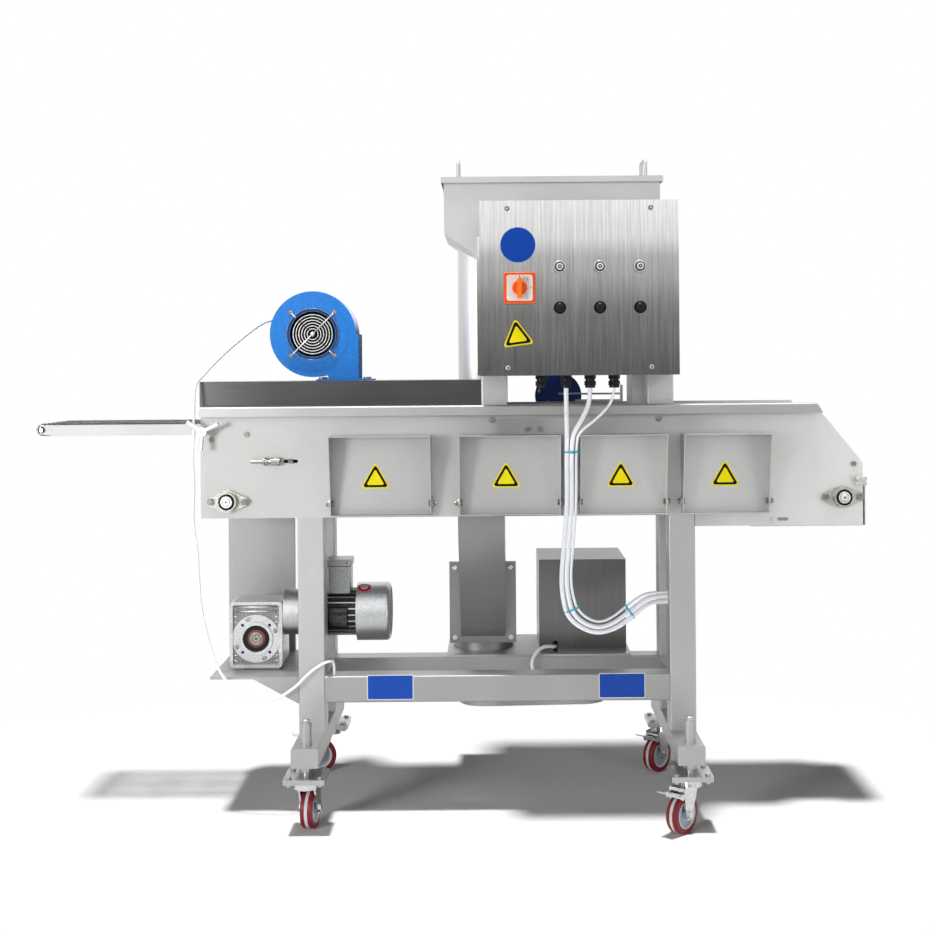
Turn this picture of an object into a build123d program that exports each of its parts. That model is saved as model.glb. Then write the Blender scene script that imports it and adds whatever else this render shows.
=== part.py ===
"""Crumb breading machine on casters: belt, hopper, crumb elevator and blow-off fan.

Millimetres. X runs along the belt with the discharge nose at -X, Y goes from the operator's
side to the back, and Z goes up from the floor that the casters stand on.
"""

import math
import os

from build123d import *

os.makedirs("parts", exist_ok=True)

# Clearances
running_gap = 0.05
seat_gap = 0.3

# Body: the two side plates and what lies between them
body_left = -660.0
body_right = 1094.0
body_width = 307.0
front_y = -142.0
back_y = front_y + body_width
middle_y = (front_y + back_y) / 2
plate = 3.0
sheet = 2.0
floor_z = 793.0
floor_drop = 30.0
rim_z = 1088.0
lip_reach = 22.0
lip_height = 26.0
lip_radius = 5.0
rim_notch = 3.0
end_corner_x = 986.0
end_corner_z = 1062.0
end_shoulder_z = 929.0
rim_end_x = 970.0
end_wall_z = 980.0
bolt_radius = 4.0
bolt_across = 13.0
bolt_head = 5.3
nut_height = 6.8
thread_proud = 2.0

# Welded frame of square tube
tube = 70.0
tube_wall = 3.0
tube_radius = 4.0
leg_span = 984.0
frame_x = 122.0
leg_bottom_z = 222.0
rail_bottom_z = 302.0
foot_height = 50.0
foot_overhang = 155.0
sleeve_radius = 14.5
sleeve_height = 58.0
sleeve_inset = 35.0
post_places = (120.0, 560.0)
post_bottom_z = 1012.0
post_top_z = 1534.0

# Levelling screws and casters
screw_radius = 10.0
screw_top_z = 290.0
screw_gap = 0.3
screw_chamfer = 1.5
pad_size = 107.0
pad_thickness = 7.0
pad_bolt_pitch = 80.0
lock_nut_across = 32.0
lock_nut_height = 14.0
wheel_radius = 50.0
wheel_width = 32.0
wheel_trail = 38.0
tread_round = 4.0
hub_radius = 36.0
hub_recess = 5.0
hub_core = 14.0
hub_proud = 2.5
axle_radius = 6.0
axle_nut = 6.0
axle_nut_across = 17.0
pin_radius = 8.0
pin_head_radius = 12.0
pin_head = 4.0
caster_top_plate = 6.0
race_radius = 31.0
race_height = 15.0
crown_sheet = 6.0
crown_clearance = 14.0
crown_reach = 60.0
fork_sheet = 4.0
fork_side_gap = 3.0
leg_round = 13.0
ear_radius = 8.0
pedal_pivot = (66.0, 100.0)
pedal_pin_radius = 4.0
pedal_hub = 6.5
pedal_length = 52.0
pedal_width = 37.0
pedal_lift = 14.0
caster_headings = {"front_left": 82.0, "front_right": 228.0, "rear_left": 199.0, "rear_right": 228.0}

# Doors along the front: left edges and widths
door_left = (-314.0, 26.0, 343.0, 613.0)
door_width = (266.0, 266.0, 228.0, 228.0)
door_top_z = 1010.0
door_bottom_z = 799.0
door_top_reach = 75.0
door_bottom_reach = 30.0
door_lap = 8.0
door_side_gap = 0.5
door_pivot_z = 831.0
door_pivot_reach = 16.0
door_sill_z = 797.0
opening_step = 16.0
ear_gap = 1.0
ear_round = 12.0

# Belt run: nose, top run, climb, sprockets
belt_width = 240.0
belt_thickness = 4.0
nose_radius = 12.5
nose_x = -1089.0
nose_z = 1030.0
sprocket_radius = 34.0
sprocket_teeth = 12
sprocket_tooth = 4.0
tooth_flanks = (0.35, 0.65)
sprocket_width = 12.0
sprocket_count = 3
sprocket_pitch = 100.0
shaft_radius = 10.0
drive_x = -588.0
tail_x = 1039.0
shaft_z = 838.0
shoe_radius = 12.0
climb_top_x = -380.0
climb_foot_x = 30.0
climb_bend = 120.0

# Flange bearings
bearing_length = 113.0
bearing_height = 60.0
bearing_pitch = 90.0
bearing_flange = 11.0
bearing_boss = 25.5
bearing_boss_radius = 26.0
bearing_taper = 4.0
bearing_bolt_radius = 5.0
bearing_bolt_across = 17.0
bearing_bolt_head = 6.4
inner_ring_radius = 17.0
ring_proud = 3.0
shaft_proud = 2.0

# Nose frame, slide strips and cross bars
nose_inset = 25.0
nose_end_radius = 12.0
nose_taper_x = -1060.0
nose_plate_top = 1042.0
nose_plate_bottom = 1014.0
nose_deep_bottom = 985.0
nose_tail_x = -480.0
nose_axle_radius = 6.0
axle_proud = 4.0
strip_width = 10.0
strip_height = 12.0
strip_left = -1060.0
strip_right = 985.0
strip_pitch = 100.0
bar_radius = 5.0
nose_bars = (-1040.0, -900.0, -760.0)
body_bars = (-420.0, -331.0, -11.0, 317.0, 592.0, 858.0, 960.0)
spacer_places = ((-631.0, 1001.0), (-538.0, 1015.0))
spacer_radius = 8.0

# Clamp handle
clamp_x = -647.0
clamp_z = 1024.0
clamp_stud = 5.0
clamp_collar = 8.0
clamp_hub = 12.0
clamp_arm = 48.0
clamp_arm_radius = 5.5
clamp_rise = 6.0
clamp_turns = (26, 146, 266)
clamp_standoff = 38.0

# Panel bolts on the front plate and the take-up screw
panel_bolts = ((113.0, 1048.0), (555.0, 1048.0), (207.0, 1023.0), (240.0, 1023.0), (1070.0, 925.0))
slot_width = 9.0
take_up_z = 943.0
take_up_slot = (-440.0, -402.0)
take_up_rod = (-524.0, -470.0)
take_up_standoff = 14.0
take_up_lug_x = -490.0
take_up_round = 10.0
take_up_block_length = 22.0

# End tray at the infeed
tray_left = 798.0
tray_flange_z = 876.0
tray_flange_gap = 5.0
tray_tab_gap = 1.5
tray_screw_short = 0.5
tray_knob_x = 1087.0
tray_knob_z = 880.0
tray_tab = 12.0
tray_slot = (851.0, 896.0)
tray_slot_z = floor_z - 13.0
tray_bolt_x = 857.0
knob_core = 9.0
knob_lobes = 4
knob_lobe = 6.0
knob_depth = 22.0
knob_edge = 2.0

# Blow-off hood and blower
hood_left = -668.0
hood_right = 84.0
hood_inset = 30.0
hood_top_z = 1155.0
scroll_x = -374.0
scroll_z = 1282.0
scroll_radius = 117.0
scroll_setback = 105.0
scroll_depth = 110.0
scroll_rim = 98.0
scroll_rim_depth = 1.0
inlet_radius = 62.0
inlet_ring_radius = 72.0
inlet_ring_depth = 4.0
grille_rings = 6
grille_pitch = 7.7
grille_wire = 2.0
neck_left = -333.0
neck_right = -250.0
foot_left = -366.0
foot_right = -212.0
foot_sheet = 4.0
foot_bolt_x = (-353.0, -231.0)
foot_bolt_inset = 14.0
fan_radius = 88.0
fan_blades = 24
fan_clearance = 10.0
blade_depth = 14.0
blade_sheet = 2.0
blade_lean = 30
fan_hub_radius = 20.0
fan_hub_length = 50.0
fan_shaft_radius = 8.0
fan_shaft_depth = 40.0
fan_motor_radius = 62.0
fan_motor_length = 150.0
fan_motor_edge = 10.0
fan_box_x = (-470.0, -410.0)
fan_box_depths = (35.0, 95.0)
fan_box_z = (1290.0, 1350.0)

# Control box
box_left = 85.0
box_width = 500.0
box_bottom_z = 1166.0
box_height = 439.0
box_depth = 200.0
cover_fold = 15.0
cover_screw_inset = (70.0, 20.0)
cover_screw_radius = 5.5
cover_screw_head = 3.0
cover_screw_round = 1.8
back_plate = (76.0, 594.0)
back_plate_top_z = 1534.0
column_x = 185.0
column_pitch = 100.7
upper_row_z = 1438.5
lower_row_z = 1336.0
bezel_radius = 15.5
bezel_height = 5.0
bezel_chamfer = 1.0
barrel_radius = 13.0
barrel_length = 30.0
button_radius = 11.0
button_proud = 7.0
button_travel = 4.0
isolator_z = 1386.0
isolator_size = 79.0
isolator_corner = 8.0
isolator_thickness = 12.0
isolator_chamfer = 2.0
knob_radius = 24.0
knob_shaft_radius = 10.0
knob_disc = 8.0
knob_grip_width = 14.0
knob_grip_height = 14.0
knob_grip_inset = 1.5
gland_x = (241.0, 305.0, 367.0, 429.0)
gland_setback = 100.0
gland_radius = 15.0
gland_stages = ((10.0, None), (5.0, 12.0), (11.5, None), (6.5, 13.0))

# Hopper and lid
hopper_left = -14.0
hopper_right = 576.0
hopper_setback = 110.0
hopper_depth = 345.0
hopper_top_z = 1705.0
hopper_knee_z = 1554.0
hopper_shoulder = 10.0
hopper_fold_z = 1392.0
outlet_left = 496.0
outlet_right = 572.0
outlet_top_z = 1204.0
outlet_bottom_z = 1010.0
outlet_inset = 34.0
hopper_arm_z = (1480.0, 1530.0)
hopper_arm_width = 30.0
cut_margin = 1.0
lid_overhang = 8.0
lid_skirt = 14.0
handle_length = 120.0
handle_height = 66.0
handle_radius = 5.0
handle_bend = 14.0
handle_x = (22.0, 549.0)

# Feeder motor behind the rear rim
feeder_x = 304.0
feeder_z = 1105.0
feeder_setback = 25.0
feeder_radius = 67.0
feeder_disc = 12.0
feeder_step = 12.0
feeder_length = 118.0
feeder_plate_x = (352.0, 488.0)
feeder_post_z = 1135.0
feeder_rod_z = 1110.0
feeder_rod_radius = 3.0

# Elevator behind the body
auger_x = 82.0
auger_setback = 382.0
auger_radius = 58.0
auger_pitch = 110.0
auger_core = 15.0
auger_top_gap = 50.0
flight_sheet = 3.0
flight_margin = 13.75
elevator_radius = 66.5
elevator_top_z = 1610.0
base_plate = 6.0
round_base_radius = 87.5
round_base_height = 24.0
housing_setback = 288.0
housing_flange = (190.0, 232.0)
flange_sheet = 4.0
flange_bolt_x = 80.0
flange_bolt_inset = 16.0
chute_width = 126.0
chute_front = 60.0
chute_back = 160.0
chute_knee_z = floor_z - 47.0
chute_end_z = 420.0
chute_mouth_z = 607.0
motor_x = 365.5
motor_setback = 397.5
lift_motor_radius = 70.0
lift_motor_height = 220.0
motor_cover_size = (247.0, 253.0)
motor_cover_height = 262.0
louvre_count = 5
louvre_pitch = 20.0
louvre_gap = 5.0
louvre_length = 120.0
louvre_z = 120.0
cable_slot_x = 288.0
cable_slot = (12.0, 30.0)
drive_plate_margin = 102.0
drive_plate_lip = 11.0
guard_bottom_z = 214.0
guard_radius = 70.0
pulley_radius = 55.0
pulley_width = 20.0
pulley_lift = 20.0
drive_belt_depth = 8.0

# Drive at the discharge end
gear_x = -533.0
gear_z = 455.0
gear_setback = 100.0
gear_depth = 112.0
gear_left = -605.0
gear_right = -461.0
gear_top_z = 556.0
gear_foot = 9.0
gear_corner = 12.0
gear_flange = 4.0
gear_recess = 3.0
worm_rise = 63.0
output_radius = 17.0
seal_radius = 36.0
flange_radius = 65.0
bell_radius = 62.0
bell_length = 83.0
motor_radius = 60.0
fin_count = 24
fin_height = 5.0
fin_sheet = 3.0
cowl_radius = 79.0
cowl_left = -261.0
cowl_right = -170.0
cowl_edge = 12.0
terminal_x = -309.5
terminal_size = (63.0, 76.0)
terminal_corner = 6.0
terminal_top_z = 664.0
bracket_margin = 35.0
gusset_height = 66.0
gusset_length = 120.0
chain_setback = 42.0
chain_teeth_drive = 20
chain_teeth_motor = 15
chain_pitch = 12.7
chain_width = 8.0
chain_tooth = 4.0
chain_depth = 8.0
guard_x = (-652.0, -462.0)
guard_depth = 22.0
guard_top_z = 898.0

# Cables: diameters, and points chosen by hand from the glands down to where each one enters
cable_bend = 0.45
least_turn = 0.02
panel_cables = (
    (
        12.0,
        (
            (305, -237, 1133), (305, -237, 1095), (307, -230, 1020), (307, -205, 965), (307, -192, 930),
            (308, -192, 839), (304, -192, 780), (298, -192, 713), (291, -192, 640), (294, -192, 585),
            (308, -188, 527), (372, -177, 486), (432, -162, 494), (480, -152, 527), (524, -130, 558),
            (551, -107, 558), (579, -107, 558),
        ),
    ),
    (
        12.0,
        (
            (367, -237, 1133), (367, -237, 1098), (348, -237, 1056), (322, -232, 1015),
            (320.5, -210, 975), (320, -192, 940), (321, -192, 839), (317, -192, 780),
            (311, -192, 713), (304, -192, 640), (308, -192, 588), (322, -188, 535), (377, -177, 500),
            (427, -162, 508), (472, -152, 540), (518, -130, 572), (551, -107, 572), (579, -107, 572),
        ),
    ),
    (
        7.0,
        (
            (429, -237, 1133), (429, -237, 1102), (388, -237, 1056), (336, -234, 1018),
            (332.5, -212, 985), (332.5, -192, 950), (332, -192, 839), (328, -192, 780),
            (322, -192, 713), (315, -192, 640), (320, -192, 592), (334, -188, 547), (380, -177, 515),
            (421, -162, 522), (464, -152, 554), (512, -130, 583), (551, -107, 583), (579, -107, 583),
        ),
    ),
)
blower_cable_diameter = 7.0
blower_cable = (
    (-470, 138, 1320), (-495, 138, 1320), (-522, 100, 1328), (-600, 8, 1254), (-647, -82, 1192),
    (-660, -104, 1170), (-674, -142, 1150), (-674, -154, 1090), (-675, -154, 1011), (-679, -156, 951),
    (-673, -160, 889), (-679, -157, 782), (-667, -157, 717), (-665, -157, 644), (-659, -157, 555),
    (-643, -157, 485), (-626, -159, 424), (-599, -162, 372), (-560, -164, 332), (-511, -165, 310),
    (-462, -166, 316), (-410, -165, 349), (-376, -160, 385), (-342, -157, 408), (-320, -145, 414),
    (-312, -122, 405), (-312, -122, 372),
)
drive_cable_diameter = 10.0
drive_cable = (
    (295.2, 255.5, 398), (275, 255.5, 398), (275, 190, 396), (288, 160, 393), (288, 122, 393),
    (274, 108, 398), (250, 88, 401), (226, 72, 384), (217, 63, 356), (226, 63, 332), (234, 72, 325),
    (234, 95, 325),
)


def from_front(y):
    """Plane across the machine at y: its normal looks towards the operator, +X right, +Z up."""
    return Plane.XZ.offset(-y)


def export_group(name, pieces):
    """Write one node whose pieces stay separate solids, such as a set of equal bolts."""
    group = Compound([solid for piece in pieces for solid in piece.solids()])
    group.label = name
    export_step(group, f"parts/{name}.step")


def rod(start, end, radius):
    """Round bar between two points."""
    line = Vector(*end) - Vector(*start)
    with BuildPart() as bar:
        with BuildSketch(Plane(origin=start, z_dir=line)):
            Circle(radius)
        extrude(amount=line.length)
    return bar.part


def block(x, y, z):
    """Plain block between the pairs of limits x, y and z."""
    with BuildPart() as body:
        with BuildSketch(Plane.XY.offset(z[0])):
            with Locations(((x[0] + x[1]) / 2, (y[0] + y[1]) / 2)):
                Rectangle(x[1] - x[0], y[1] - y[0])
        extrude(amount=z[1] - z[0])
    return body.part


def ring(outer, inner, length):
    """Round sleeve along +Z from the origin."""
    with BuildPart() as sleeve:
        with BuildSketch():
            Circle(outer)
            Circle(inner, mode=Mode.SUBTRACT)
        extrude(amount=length)
    return sleeve.part


def hex_bolt(radius, grip, across, head):
    """Bolt along +Z from a seat at the origin: the shank goes down by grip, the head stands up."""
    with BuildPart() as bolt:
        with BuildSketch():
            RegularPolygon(across / 2, 6, major_radius=False)
        extrude(amount=head)
        with BuildSketch():
            Circle(radius)
        extrude(amount=-grip)
    return bolt.part


def square_tube(length):
    """Hollow frame section along +Z from the origin."""
    with BuildPart() as member:
        with BuildSketch():
            RectangleRounded(tube, tube, tube_radius)
            Rectangle(tube - 2 * tube_wall, tube - 2 * tube_wall, mode=Mode.SUBTRACT)
        extrude(amount=length)
    return member.part


to_front = Rot(90, 0, 0)
to_back = Rot(-90, 0, 0)
to_right = Rot(0, 90, 0)
to_left = Rot(0, -90, 0)

# Frame: legs, rails, feet with their screw sleeves, and the posts of the control box
leg_x = (frame_x - leg_span / 2, frame_x + leg_span / 2)
front_leg_y = front_y + tube / 2
back_leg_y = back_y - tube / 2
foot_y = (front_y - foot_overhang, back_y + foot_overhang)
foot_bottom_z = leg_bottom_z - foot_height
jack_y = (foot_y[0] + sleeve_inset, foot_y[1] - sleeve_inset)
rail_z = rail_bottom_z + tube / 2
post_y = front_y + plate + tube / 2
auger_y = front_y + auger_setback

with BuildPart() as foot_beam:
    with BuildSketch(from_front(foot_y[1])):
        with Locations((0, foot_bottom_z + foot_height / 2)):
            RectangleRounded(tube, foot_height, tube_radius)
            Rectangle(tube - 2 * tube_wall, foot_height - 2 * tube_wall, mode=Mode.SUBTRACT)
    extrude(amount=foot_y[1] - foot_y[0])
    for y in (foot_y[0] + tube_wall, foot_y[1]):
        with BuildSketch(from_front(y)):
            with Locations((0, foot_bottom_z + foot_height / 2)):
                RectangleRounded(tube, foot_height, tube_radius)
        extrude(amount=tube_wall)
    with BuildSketch(Plane.XY.offset(foot_bottom_z)):
        with Locations(*[(0, y) for y in jack_y]):
            Circle(screw_radius + screw_gap)
    extrude(amount=foot_height, mode=Mode.SUBTRACT)

leg = square_tube(floor_z - leg_bottom_z)
cross_rail = square_tube(body_width - 2 * tube)
long_rail = square_tube(leg_span - tube)
post = square_tube(post_top_z - post_bottom_z)
jack_sleeve = ring(sleeve_radius, screw_radius + screw_gap, sleeve_height)

frame_pieces = []
for x in leg_x:
    frame_pieces.append(Pos(x, front_leg_y, leg_bottom_z) * leg)
    frame_pieces.append(Pos(x, back_leg_y, leg_bottom_z) * leg)
    frame_pieces.append(Pos(x, front_y + tube, rail_z) * to_back * cross_rail)
    frame_pieces.append(Pos(x, 0, 0) * foot_beam.part)
    frame_pieces.extend(Pos(x, y, leg_bottom_z) * jack_sleeve for y in jack_y)
for y in (front_leg_y, back_leg_y):
    frame_pieces.append(Pos(leg_x[0] + tube / 2, y, rail_z) * to_right * long_rail)
for x in post_places:
    frame_pieces.append(Pos(x, post_y, post_bottom_z) * post)
    arm_x = (x - hopper_arm_width / 2, x + hopper_arm_width / 2)
    frame_pieces.append(block(arm_x, (post_y + tube / 2, front_y + hopper_setback), hopper_arm_z))
export_group("frame", frame_pieces)

# Side plates: one sheet each, with a folded rim; the front one has door openings, ears and slots
step_x = leg_x[1] + tube / 2
low_z = floor_z - floor_drop
door_edges = tuple(zip(door_left, door_width))
pivot_y = front_y - door_pivot_reach
opening_top_z = door_top_z - door_lap
opening_fold_z = door_pivot_z + opening_step
bearing_seat = inner_ring_radius + 3
bolt_hole = bolt_radius + running_gap


def plate_outline():
    """Side plate as seen from the front, in the active sketch."""
    with BuildLine() as outline:
        Polyline(
            (body_left, floor_z),
            (step_x, floor_z),
            (step_x, low_z),
            (body_right, low_z),
            (body_right, end_shoulder_z),
            (end_corner_x, end_corner_z),
            (rim_end_x, rim_z),
            (body_left, rim_z),
            close=True,
        )
    make_face(outline.edges())


def plate_holes():
    """Shaft, spacer and tray holes that both side plates have, in the active sketch."""
    with Locations((drive_x, shaft_z), (tail_x, shaft_z)):
        Circle(bearing_seat, mode=Mode.SUBTRACT)
    with Locations(*[(x + side * bearing_pitch / 2, shaft_z) for x in (drive_x, tail_x) for side in (-1, 1)]):
        Circle(bearing_bolt_radius + running_gap, mode=Mode.SUBTRACT)
    with Locations(*spacer_places):
        Circle(bolt_hole, mode=Mode.SUBTRACT)
    with Locations(((tray_slot[0] + tray_slot[1]) / 2, tray_slot_z)):
        SlotOverall(tray_slot[1] - tray_slot[0], slot_width, mode=Mode.SUBTRACT)


def folded_rim(outer_y, outward):
    """Rim folded out and down along the top of a side plate, in the active part."""
    with BuildSketch(Plane.YZ.offset(body_left)) as profile:
        with BuildLine():
            Polyline(
                (outer_y, rim_z - plate),
                (outer_y + outward * (lip_reach - plate), rim_z - plate),
                (outer_y + outward * (lip_reach - plate), rim_z - lip_height),
                (outer_y + outward * lip_reach, rim_z - lip_height),
                (outer_y + outward * lip_reach, rim_z),
                (outer_y, rim_z),
                close=True,
            )
        make_face()
        corner = profile.vertices().group_by(Axis.X)[0 if outward < 0 else -1].sort_by(Axis.Y)[-1]
        fillet(corner, lip_radius)
    extrude(profile.sketch, amount=end_corner_x - body_left)
    with BuildSketch(from_front(outer_y + max(0, outward * lip_reach))) as end_cut:
        with BuildLine():
            Polyline(
                (rim_end_x, rim_z),
                (end_corner_x, end_corner_z),
                (end_corner_x, rim_z),
                close=True,
            )
        make_face()
    extrude(end_cut.sketch, amount=lip_reach, mode=Mode.SUBTRACT)


with BuildPart() as front_side_plate:
    with BuildSketch(from_front(front_y + plate)):
        plate_outline()
        plate_holes()
        with Locations((clamp_x, clamp_z)):
            Circle(clamp_stud + running_gap, mode=Mode.SUBTRACT)
        with Locations(*panel_bolts):
            Circle(bolt_hole, mode=Mode.SUBTRACT)
        with Locations(((take_up_slot[0] + take_up_slot[1]) / 2, take_up_z)):
            SlotOverall(take_up_slot[1] - take_up_slot[0], slot_width, mode=Mode.SUBTRACT)
        for left, width in door_edges:
            with Locations((left + width / 2, (opening_fold_z + opening_top_z) / 2)):
                Rectangle(width - 2 * door_lap, opening_top_z - opening_fold_z, mode=Mode.SUBTRACT)
            with Locations((left + width / 2, (door_sill_z + opening_fold_z) / 2)):
                Rectangle(width + 2 * door_side_gap, opening_fold_z - door_sill_z, mode=Mode.SUBTRACT)
    extrude(amount=plate)
    folded_rim(front_y, -1)
    for left, width in door_edges:
        for ear_x in (left - ear_gap - plate, left + width + ear_gap):
            with BuildSketch(Plane.YZ.offset(ear_x)):
                with Locations((pivot_y + door_pivot_reach / 2, door_pivot_z)):
                    Rectangle(door_pivot_reach, 2 * ear_round)
                with Locations((pivot_y, door_pivot_z)):
                    Circle(ear_round)
                    Circle(bolt_hole, mode=Mode.SUBTRACT)
            extrude(amount=plate)

front_side_plate.part.label = "front_side_plate"
export_step(front_side_plate.part, "parts/front_side_plate.step")

with BuildPart() as rear_side_plate:
    with BuildSketch(from_front(back_y)):
        plate_outline()
        plate_holes()
    extrude(amount=plate)
    folded_rim(back_y, 1)
    with BuildSketch(Plane.XY.offset(rim_z)):
        with Locations((auger_x, auger_y)):
            Circle(elevator_radius + rim_notch)
    extrude(amount=-lip_height, mode=Mode.SUBTRACT)

rear_side_plate.part.label = "rear_side_plate"
export_step(rear_side_plate.part, "parts/rear_side_plate.step")

# Doors: pans with walls that stand out, deeper at the top, turning on two bolts near the sill
for number, (left, width) in enumerate(door_edges, start=1):
    pan_y = front_y - seat_gap
    with BuildPart() as door:
        with BuildSketch(Plane.YZ.offset(left)):
            with BuildLine():
                Polyline(
                    (pan_y, door_bottom_z),
                    (pan_y, door_top_z),
                    (front_y - door_top_reach, door_top_z),
                    (front_y - door_bottom_reach, door_bottom_z),
                    close=True,
                )
            make_face()
        extrude(amount=width)
        with BuildSketch(from_front(pan_y - sheet)):
            with Locations((left + width / 2, (door_bottom_z + door_top_z) / 2)):
                Rectangle(width - 2 * sheet, door_top_z - door_bottom_z - 2 * sheet)
        extrude(amount=door_top_reach, mode=Mode.SUBTRACT)
        with BuildSketch(Plane.YZ.offset(left)):
            with Locations((pivot_y, door_pivot_z)):
                Circle(bolt_hole)
        extrude(amount=width, mode=Mode.SUBTRACT)
    door.part.label = f"door_{number}"
    export_step(door.part, f"parts/door_{number}.step")

# Mesh belt as a closed band: round the nose, along the top, down the climb, round both shafts
pitch_offset = seat_gap + belt_thickness / 2
nose_pitch_radius = nose_radius + pitch_offset
drive_pitch_radius = sprocket_radius + pitch_offset
shoe_pitch_radius = shoe_radius + pitch_offset
top_run_z = nose_z + nose_pitch_radius
under_run_z = nose_z - nose_pitch_radius
low_run_z = shaft_z + drive_pitch_radius
drag_run_z = shaft_z - drive_pitch_radius
rise_x = drive_x - drive_pitch_radius
nose_end_x = nose_x - nose_pitch_radius
tail_end_x = tail_x + drive_pitch_radius
belt_corners = (
    (nose_end_x, top_run_z, nose_pitch_radius),
    (climb_top_x, top_run_z, climb_bend),
    (climb_foot_x, low_run_z, climb_bend),
    (tail_end_x, low_run_z, drive_pitch_radius),
    (tail_end_x, drag_run_z, drive_pitch_radius),
    (rise_x, drag_run_z, drive_pitch_radius),
    (rise_x, under_run_z, shoe_pitch_radius),
    (nose_end_x, under_run_z, nose_pitch_radius),
)


def belt_loop(grow):
    """Outline of the belt's path, moved outwards by grow, as a face in the active sketch."""
    points = []
    for index, (x, z, radius) in enumerate(belt_corners):
        before = Vector(*belt_corners[index - 1][:2])
        here = Vector(x, z)
        after = Vector(*belt_corners[(index + 1) % len(belt_corners)][:2])
        into = (here - before).normalized()
        out = (after - here).normalized()
        normal_in = Vector(-into.Y, into.X)
        turn = into.X * out.Y - into.Y * out.X
        slide = grow * (1 - into.dot(out)) / turn
        spot = here + normal_in * grow + into * -slide
        points.append((spot, radius - grow if turn > 0 else radius + grow))
    with BuildLine() as loop:
        FilletPolyline(*[(spot.X, spot.Y) for spot, _ in points], radius=[r for _, r in points], close=True)
    make_face(loop.edges())


belt_y = (middle_y - belt_width / 2, middle_y + belt_width / 2)
with BuildPart() as mesh_belt:
    with BuildSketch(from_front(belt_y[1])):
        belt_loop(belt_thickness / 2)
    extrude(amount=belt_width)
    with BuildSketch(from_front(belt_y[1])):
        belt_loop(-belt_thickness / 2)
    extrude(amount=belt_width, mode=Mode.SUBTRACT)

mesh_belt.part.label = "mesh_belt"
export_step(mesh_belt.part, "parts/mesh_belt.step")

# Belt strips, cross bars, nose frame and floor between the side plates
inner_y = (front_y + plate, back_y - plate)
nose_plate_y = (front_y + nose_inset, back_y - nose_inset - plate)
shoe_x = rise_x - shoe_pitch_radius
shoe_z = under_run_z - shoe_pitch_radius
strip_top_offset = belt_thickness / 2 + seat_gap
climb_slope = (low_run_z - top_run_z) / (climb_foot_x - climb_top_x)


def run_height(x):
    """Height of the belt's upper run at x, on its centre line."""
    return min(top_run_z, max(low_run_z, top_run_z + climb_slope * (x - climb_top_x)))


with BuildPart() as nose_plate:
    with BuildSketch(from_front(plate)):
        with Locations((nose_x, nose_z)):
            Circle(nose_end_radius)
        with Locations(((nose_taper_x + nose_tail_x) / 2, (nose_plate_bottom + nose_plate_top) / 2)):
            Rectangle(nose_tail_x - nose_taper_x, nose_plate_top - nose_plate_bottom)
        make_hull()
        with Locations(((body_left + plate + nose_tail_x) / 2, (nose_deep_bottom + nose_plate_top) / 2)):
            Rectangle(nose_tail_x - body_left - plate, nose_plate_top - nose_deep_bottom)
        with Locations((nose_x, nose_z)):
            Circle(nose_axle_radius + running_gap, mode=Mode.SUBTRACT)
    extrude(amount=plate)

with BuildPart() as slide_strip:
    with BuildSketch(from_front(strip_width)) as under_belt:
        belt_loop(-strip_top_offset)
        add(Pos(0, -strip_height) * under_belt.sketch_local, mode=Mode.SUBTRACT)
        with Locations(((strip_left + strip_right) / 2, nose_z)):
            Rectangle(strip_right - strip_left, nose_z, mode=Mode.INTERSECT)
    extrude(amount=strip_width)

with BuildPart() as floor_sheet:
    with BuildSketch(Plane.XY.offset(floor_z)):
        with Locations(((body_left + step_x) / 2, middle_y)):
            Rectangle(step_x - body_left, inner_y[1] - inner_y[0])
        with Locations((auger_x, front_y + (chute_front + chute_back) / 2)):
            Rectangle(chute_width - 2 * sheet, chute_back - chute_front - 2 * sheet, mode=Mode.SUBTRACT)
    extrude(amount=sheet)

bed_pieces = [floor_sheet.part]
bed_pieces.append(block((step_x, step_x + sheet), inner_y, (low_z, floor_z + sheet)))
bed_pieces.append(block((step_x + sheet, tray_left), inner_y, (low_z, low_z + sheet)))
bed_pieces.append(block((body_left, body_left + sheet), inner_y, (floor_z + sheet, end_wall_z)))
shoe_ends = [(shoe_x, y, shoe_z) for y in (nose_plate_y[0] + plate, nose_plate_y[1])]
bed_pieces.append(rod(*shoe_ends, shoe_radius))
for y in nose_plate_y:
    bed_pieces.append(Pos(0, y, 0) * nose_plate.part)
for x, z in spacer_places:
    bed_pieces.append(rod((x, inner_y[0], z), (x, nose_plate_y[0], z), spacer_radius))
    bed_pieces.append(rod((x, nose_plate_y[1] + plate, z), (x, inner_y[1], z), spacer_radius))
for share in (-1, 0, 1):
    bed_pieces.append(Pos(0, middle_y - strip_width / 2 + share * strip_pitch, 0) * slide_strip.part)
for x in nose_bars + body_bars:
    lean = math.hypot(1, climb_slope) if climb_top_x < x < climb_foot_x else 1
    z = run_height(x) - strip_height - (strip_top_offset + bar_radius) * lean
    ends = (nose_plate_y[0] + plate, nose_plate_y[1]) if x in nose_bars else inner_y
    bed_pieces.append(rod((x, ends[0], z), (x, ends[1], z), bar_radius))
export_group("conveyor_bed", bed_pieces)

# Belt shafts: toothed sprockets on a shaft that turns with the inner rings of its bearings


def toothed_disc(outer, root, teeth, width):
    """Sprocket along +Z from the origin, solid at its middle."""
    points = []
    for tooth in range(teeth):
        for share, radius in ((0.0, root), (tooth_flanks[0], outer), (tooth_flanks[1], outer)):
            angle = 2 * math.pi * (tooth + share) / teeth
            points.append((radius * math.cos(angle), radius * math.sin(angle)))
    with BuildPart() as disc:
        with BuildSketch():
            with BuildLine():
                Polyline(*points, close=True)
            make_face()
        extrude(amount=width)
    return disc.part


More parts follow.
